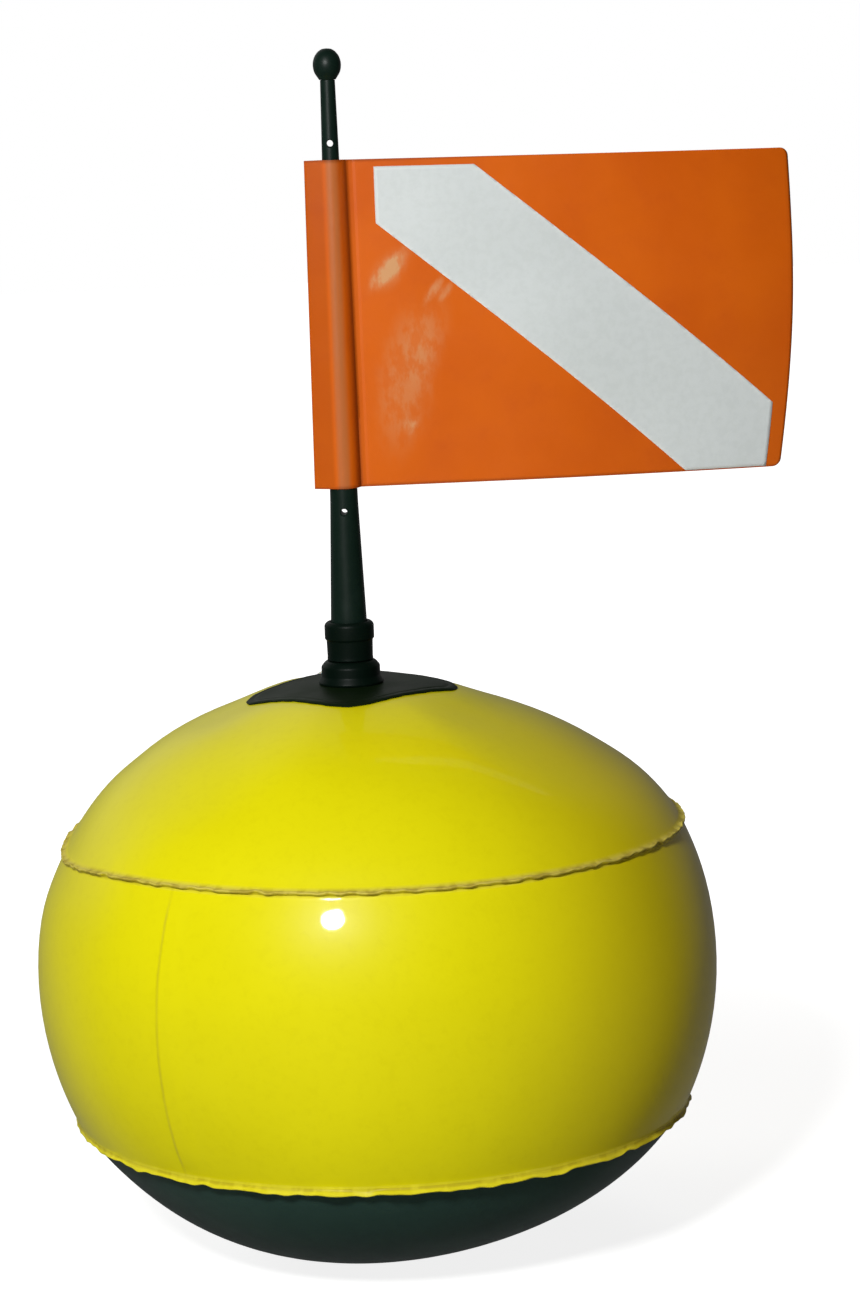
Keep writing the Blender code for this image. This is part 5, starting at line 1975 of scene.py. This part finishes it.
@dataclass(frozen=True)
class TowPoint:
    """The patch, the webbing tab and the ring behind on the bottom dome."""

    ball: BallShape
    inset: float = 0.0205
    patch_radius: float = 0.021
    patch_rings: int = 24
    weld_inset: float = 0.0026
    weld_width: float = 0.0006
    half_width: float = 0.010
    webbing: float = 0.0012
    tab_rows: int = 110
    tab_columns: int = 28
    tail_steps: int = 12
    tail: float = 0.011
    eye: float = 0.009
    wire: float = 0.002
    side_gap: float = 0.0015
    ring_drop: float = 0.008
    running_gap: float = 0.00035
    stitch: Colour = (0.00085, 0.00028, 0.00022)
    stitches: int = 8

    @cached_property
    def reach(self) -> float:
        """The seat's distance from the ball's axis."""
        return self.ball.seam_radius - self.inset

    @cached_property
    def seat(self) -> Matrix:
        """The tow point's own place, with Z off the dome and Y down it."""
        place = (0.0, self.reach, self.ball.drop(self.reach) - self.ball.rest_cut)
        return Matrix.Translation(place) @ Matrix.Rotation(math.pi + self.ball.slope(self.reach), 4, "X")

    @cached_property
    def tab_z(self) -> float:
        """The tab's underside above the dome."""
        return self.ball.sheet + 2 * self.ball.gap

    @cached_property
    def eye_z(self) -> float:
        """The height of the eye's middle above the dome."""
        return self.tab_z + self.wire + self.running_gap + self.webbing

    def on_dome(self, x: float, y: float, stand: float) -> Vector:
        """A point over the bottom dome.

        Args:
            x: across.
            y: the distance from the seat, down the dome being positive.
            stand: how far off the dome.

        Returns:
            The place.
        """
        across = self.reach - y * math.cos(self.ball.slope(self.reach))
        radius = math.hypot(x, across)
        reach, drop = self.ball.dome_point(radius, stand)
        scale = reach / radius
        return Vector((x * scale, across * scale, drop - self.ball.rest_cut))

    def build_patch(self, bench: Bench) -> None:
        """Makes the round patch under the tab."""
        shares = [1 - (1 - i / self.patch_rings) ** 1.5 for i in range(self.patch_rings + 1)]
        bm = spun([(self.patch_radius * share, 0.0) for share in shares], 96)
        press = bm.verts.layers.float.new("press")
        for vert in bm.verts:
            from_edge = self.patch_radius - math.hypot(vert.co.x, vert.co.y)
            vert[press] = groove = hump(from_edge, self.weld_inset, self.weld_width)
            stand = self.ball.gap + self.ball.sheet - 0.0002 * groove
            stand -= 0.0005 * (1 - smooth_step(0.0, 0.001, from_edge))
            vert.co = self.on_dome(vert.co.x, vert.co.y, stand)
        faced_out(bm, self.ball.middle)
        sheet = self.ball.sheet * 0.9
        bench.piece("tow_patch_sheet", bm, PATCH_BLACK, Body.BALL, "tow_patch", sheet, sharp=60.0)

    def tab_line(self) -> list[Vector]:
        """The webbing's middle line: up the dome, round the ring's bar and back."""
        to_seat = self.seat.inverted()
        middle = self.tab_z + self.webbing / 2
        tail = self.tail / math.cos(self.ball.slope(self.reach))
        places = [-tail * (1 - i / self.tail_steps) for i in range(self.tail_steps + 1)]
        under = [to_seat @ self.on_dome(0.0, y, middle) for y in places]
        over = [to_seat @ self.on_dome(0.0, y, middle + self.webbing * 1.02) for y in places]
        bore = self.wire + self.running_gap + self.webbing / 2
        turned = arc(bore, -math.pi / 2, math.radians(152), 32)
        loop = [Vector((0.0, self.eye + y, self.eye_z + z)) for y, z in turned]
        return relaxed(resampled([*under, *loop, *reversed(over)], self.tab_rows), 4)

    def build_tab(self, bench: Bench) -> None:
        """Makes the webbing tab."""
        line = self.tab_line()
        run = lengths(line)
        sides = [self.half_width * (2 * i / self.tab_columns - 1) for i in range(self.tab_columns + 1)]
        rows = [[Vector((x, point.y, point.z)) for x in sides] for point in line]

        def run_at(column: int, row: int) -> float:
            """The length along the webbing."""
            return run[row]

        bm = moved(sheet_of(rows, {"run": run_at}), self.seat)
        bench.piece("tow_tab_webbing", bm, TOW_WEBBING, Body.BALL, "tow_tab", self.webbing * 0.96, 0.0)

    def build_stitches(self, bench: Bench) -> None:
        """Makes the two rows of stitches across the tab."""
        top = self.tab_z + self.webbing * 2.02 + 0.00005
        to_seat = self.seat.inverted()
        threads = []
        for y in (-self.tail * 1.05, -self.tail * 0.18):
            for i in range(self.stitches):
                x = self.half_width * 0.78 * (2 * (i + 0.5) / self.stitches - 1)
                thread = bmesh.new()
                bmesh.ops.create_uvsphere(thread, u_segments=10, v_segments=6, radius=1.0)
                bmesh.ops.scale(thread, vec=self.stitch, verts=thread.verts)
                threads.append(moved(thread, Matrix.Translation(to_seat @ self.on_dome(x, y, top))))
        bm = moved(joined(threads[0], threads[1:]), self.seat)
        bench.piece("tow_tab_stitches", bm, TOW_WEBBING, Body.BALL, sharp=40.0)

    def build_ring(self, bench: Bench) -> None:
        """Makes the steel D ring, hanging from its straight bar."""
        bend = self.side_gap + self.wire
        half = self.half_width + bend
        quarter = math.pi / 2
        path = [(half - bend + x, z - bend) for x, z in arc(bend, quarter, 0.0, 8)]
        path += [(x, z - self.ring_drop) for x, z in arc(half, 0.0, -math.pi, 40)]
        path += [(bend - half + x, z - bend) for x, z in arc(bend, math.pi, quarter, 8)]
        centre = self.seat @ Vector((0.0, self.eye, self.eye_z))
        bm = wire_loop([Vector((x, 0.0, z)) for x, z in path], self.wire, 4)
        moved(bm, Matrix.Translation(centre))
        bench.piece("tow_ring_wire", bm, RING_STEEL, Body.RING, "tow_ring")

    def build(self, bench: Bench) -> None:
        """Makes the tow point's pieces."""
        self.build_patch(bench)
        self.build_tab(bench)
        self.build_stitches(bench)
        self.build_ring(bench)


# ---- the studio


@dataclass(frozen=True)
class Camera:
    """The photograph's camera, found by fitting it to the ball, the mast and the flag."""

    distance: float = 1.800
    elevation: float = math.radians(8.93)
    roll: float = math.radians(-2.08)
    yaw: float = math.radians(7.01)
    aim_x: float = 0.0396
    aim_z: float = 0.3013
    focal_pixels: float = 3629.6
    image_height: float = 1300.0
    sensor: float = 36.0

    def build(self) -> None:
        """Makes the camera and makes it the scene's."""
        data = bpy.data.cameras.new("camera")
        data.sensor_width = self.sensor
        data.lens = self.focal_pixels * self.sensor / self.image_height
        data.clip_end = 50.0
        cos_e, sin_e = math.cos(self.elevation), math.sin(self.elevation)
        cos_r, sin_r = math.cos(self.roll), math.sin(self.roll)
        right, up = Vector((1.0, 0.0, 0.0)), Vector((0.0, sin_e, cos_e))
        ahead = Vector((0.0, cos_e, -sin_e))
        place = Vector((self.aim_x, 0.0, self.aim_z)) - ahead * self.distance
        rolled = (right * cos_r + up * sin_r, up * cos_r - right * sin_r, -ahead)
        turned = Matrix(rolled).transposed().to_4x4()
        obj = held("camera", data)
        obj.matrix_world = Matrix.Rotation(-self.yaw, 4, "Z") @ Matrix.Translation(place) @ turned
        bpy.context.scene.camera = obj


@dataclass(frozen=True)
class Studio:
    """The white floor, the lamps and the white surroundings."""

    floor_radius: float = 9.0
    floor_drop: float = 0.0002
    floor_paint: Colour = (0.50, 0.50, 0.49)
    key_hit: Colour = (-0.0277, -0.1540, 0.2034)
    key_way: Colour = (-0.3181, -0.7947, 0.5169)
    key_distance: float = 1.62
    key_size: float = 0.21
    key_power: float = 25.0
    side_power: float = 10.5
    back_power: float = 6.0
    fill_size: float = 1.2
    ambient: float = 0.030
    ambient_tint: Colour = (1.0, 0.78, 0.5)

    def build_floor(self) -> None:
        """Makes the floor, white to the camera but for the object's shadow."""
        bm = bmesh.new()
        bmesh.ops.create_circle(bm, cap_ends=True, segments=96, radius=self.floor_radius)
        material, graph = new_graph("floor_white")
        settings, place = {"operation": "LENGTH"}, graph.place()
        away = graph.node("ShaderNodeVectorMath", settings, {0: place}, "Value")
        glow = graph.ray("Camera") * (0.85 + away.between(0.35, 1.1) * 0.32)
        own = graph.node("ShaderNodeEmission", values={"Color": (1.0, 1.0, 1.0), "Strength": glow})
        lit = graph.node("ShaderNodeBsdfDiffuse", values={"Color": self.floor_paint})
        both = graph.node("ShaderNodeAddShader", values={0: own, 1: lit})
        graph.node("ShaderNodeOutputMaterial", values={"Surface": both})
        floor = held("floor", as_mesh("floor", raised(bm, -self.floor_drop)))
        floor.data.materials.append(material)
        floor.visible_glossy = False

    def build_lamp(
        self, name: str, place: Vector, aim: Vector, size: float, power: float, mirrored: bool = False
    ) -> None:
        """Makes one round lamp.

        Args:
            name: the lamp's name.
            place: where it hangs.
            aim: the point it faces.
            size: its diameter.
            power: its power in watts.
            mirrored: whether it shows in reflections.
        """
        data = bpy.data.lights.new(name, "AREA")
        data.shape = "DISK"
        data.size = size
        data.energy = power
        obj = held(name, data)
        obj.location = place
        obj.visible_glossy = mirrored
        obj.rotation_euler = (aim - place).to_track_quat("-Z", "Y").to_euler()

    def build_world(self) -> None:
        """Makes the surroundings: white to the camera, and a white backdrop in reflections."""
        world = bpy.data.worlds.new("studio")
        bpy.context.scene.world = world
        world.use_nodes = True
        graph = Graph(world.node_tree)
        camera, glossy, through = graph.ray("Camera"), graph.ray("Glossy"), graph.ray("Transmission")
        way = graph.node("ShaderNodeTexCoord", output="Generated")
        back = graph.along(1, way).between(0.25, 0.70)
        left = (0.0 - graph.along(0, way)).between(-0.35, 0.15)
        above = graph.along(2, way).between(-0.05, 0.30)
        mirrored = back * (0.19 + left * above * 0.36)
        hidden = (1.0 - camera) * (1.0 - glossy) * (1.0 - through)
        strength = camera + (through + glossy * mirrored) * (1.0 - camera) + hidden * self.ambient
        tint = graph.mix(hidden, (1.0, 1.0, 1.0), self.ambient_tint)
        ground = graph.node("ShaderNodeBackground", values={"Color": tint, "Strength": strength})
        graph.node("ShaderNodeOutputWorld", values={"Surface": ground})

    def build(self) -> None:
        """Makes the whole studio."""
        self.build_floor()
        self.build_world()
        hit, middle = Vector(self.key_hit), Vector((0.0, 0.0, 0.25))
        key = hit + Vector(self.key_way) * self.key_distance
        side, back = Vector((-1.6, 0.9, 0.9)), Vector((0.3, 1.6, 1.8))
        self.build_lamp("key_lamp", key, hit, self.key_size, self.key_power, True)
        self.build_lamp("side_lamp", side, middle, self.fill_size, self.side_power)
        self.build_lamp("back_lamp", back, middle, self.fill_size, self.back_power)
        bpy.context.scene.view_settings.view_transform = "Standard"


def main() -> None:
    """Builds the float piece by piece."""
    logging.basicConfig(level=logging.INFO, format="%(relativeCreated)d ms: %(message)s")
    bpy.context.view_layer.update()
    Camera().build()
    bench, ball, mast = Bench(), BallShape(), MastShape()
    socket = Socket(ball, mast, SocketShape())
    shoulder = socket.shoulder_z
    LOG.info("shoulder at %.5f, apex at %.5f", shoulder, ball.apex_z)
    pole, flag = Mast(mast, shoulder, ball.sink), Flag(mast, shoulder)
    for assembly in (Ball(ball), socket, pole, flag, Valve(ball), TowPoint(ball)):
        assembly.build(bench)
    Studio().build()


if __name__ == "__main__":
    main()
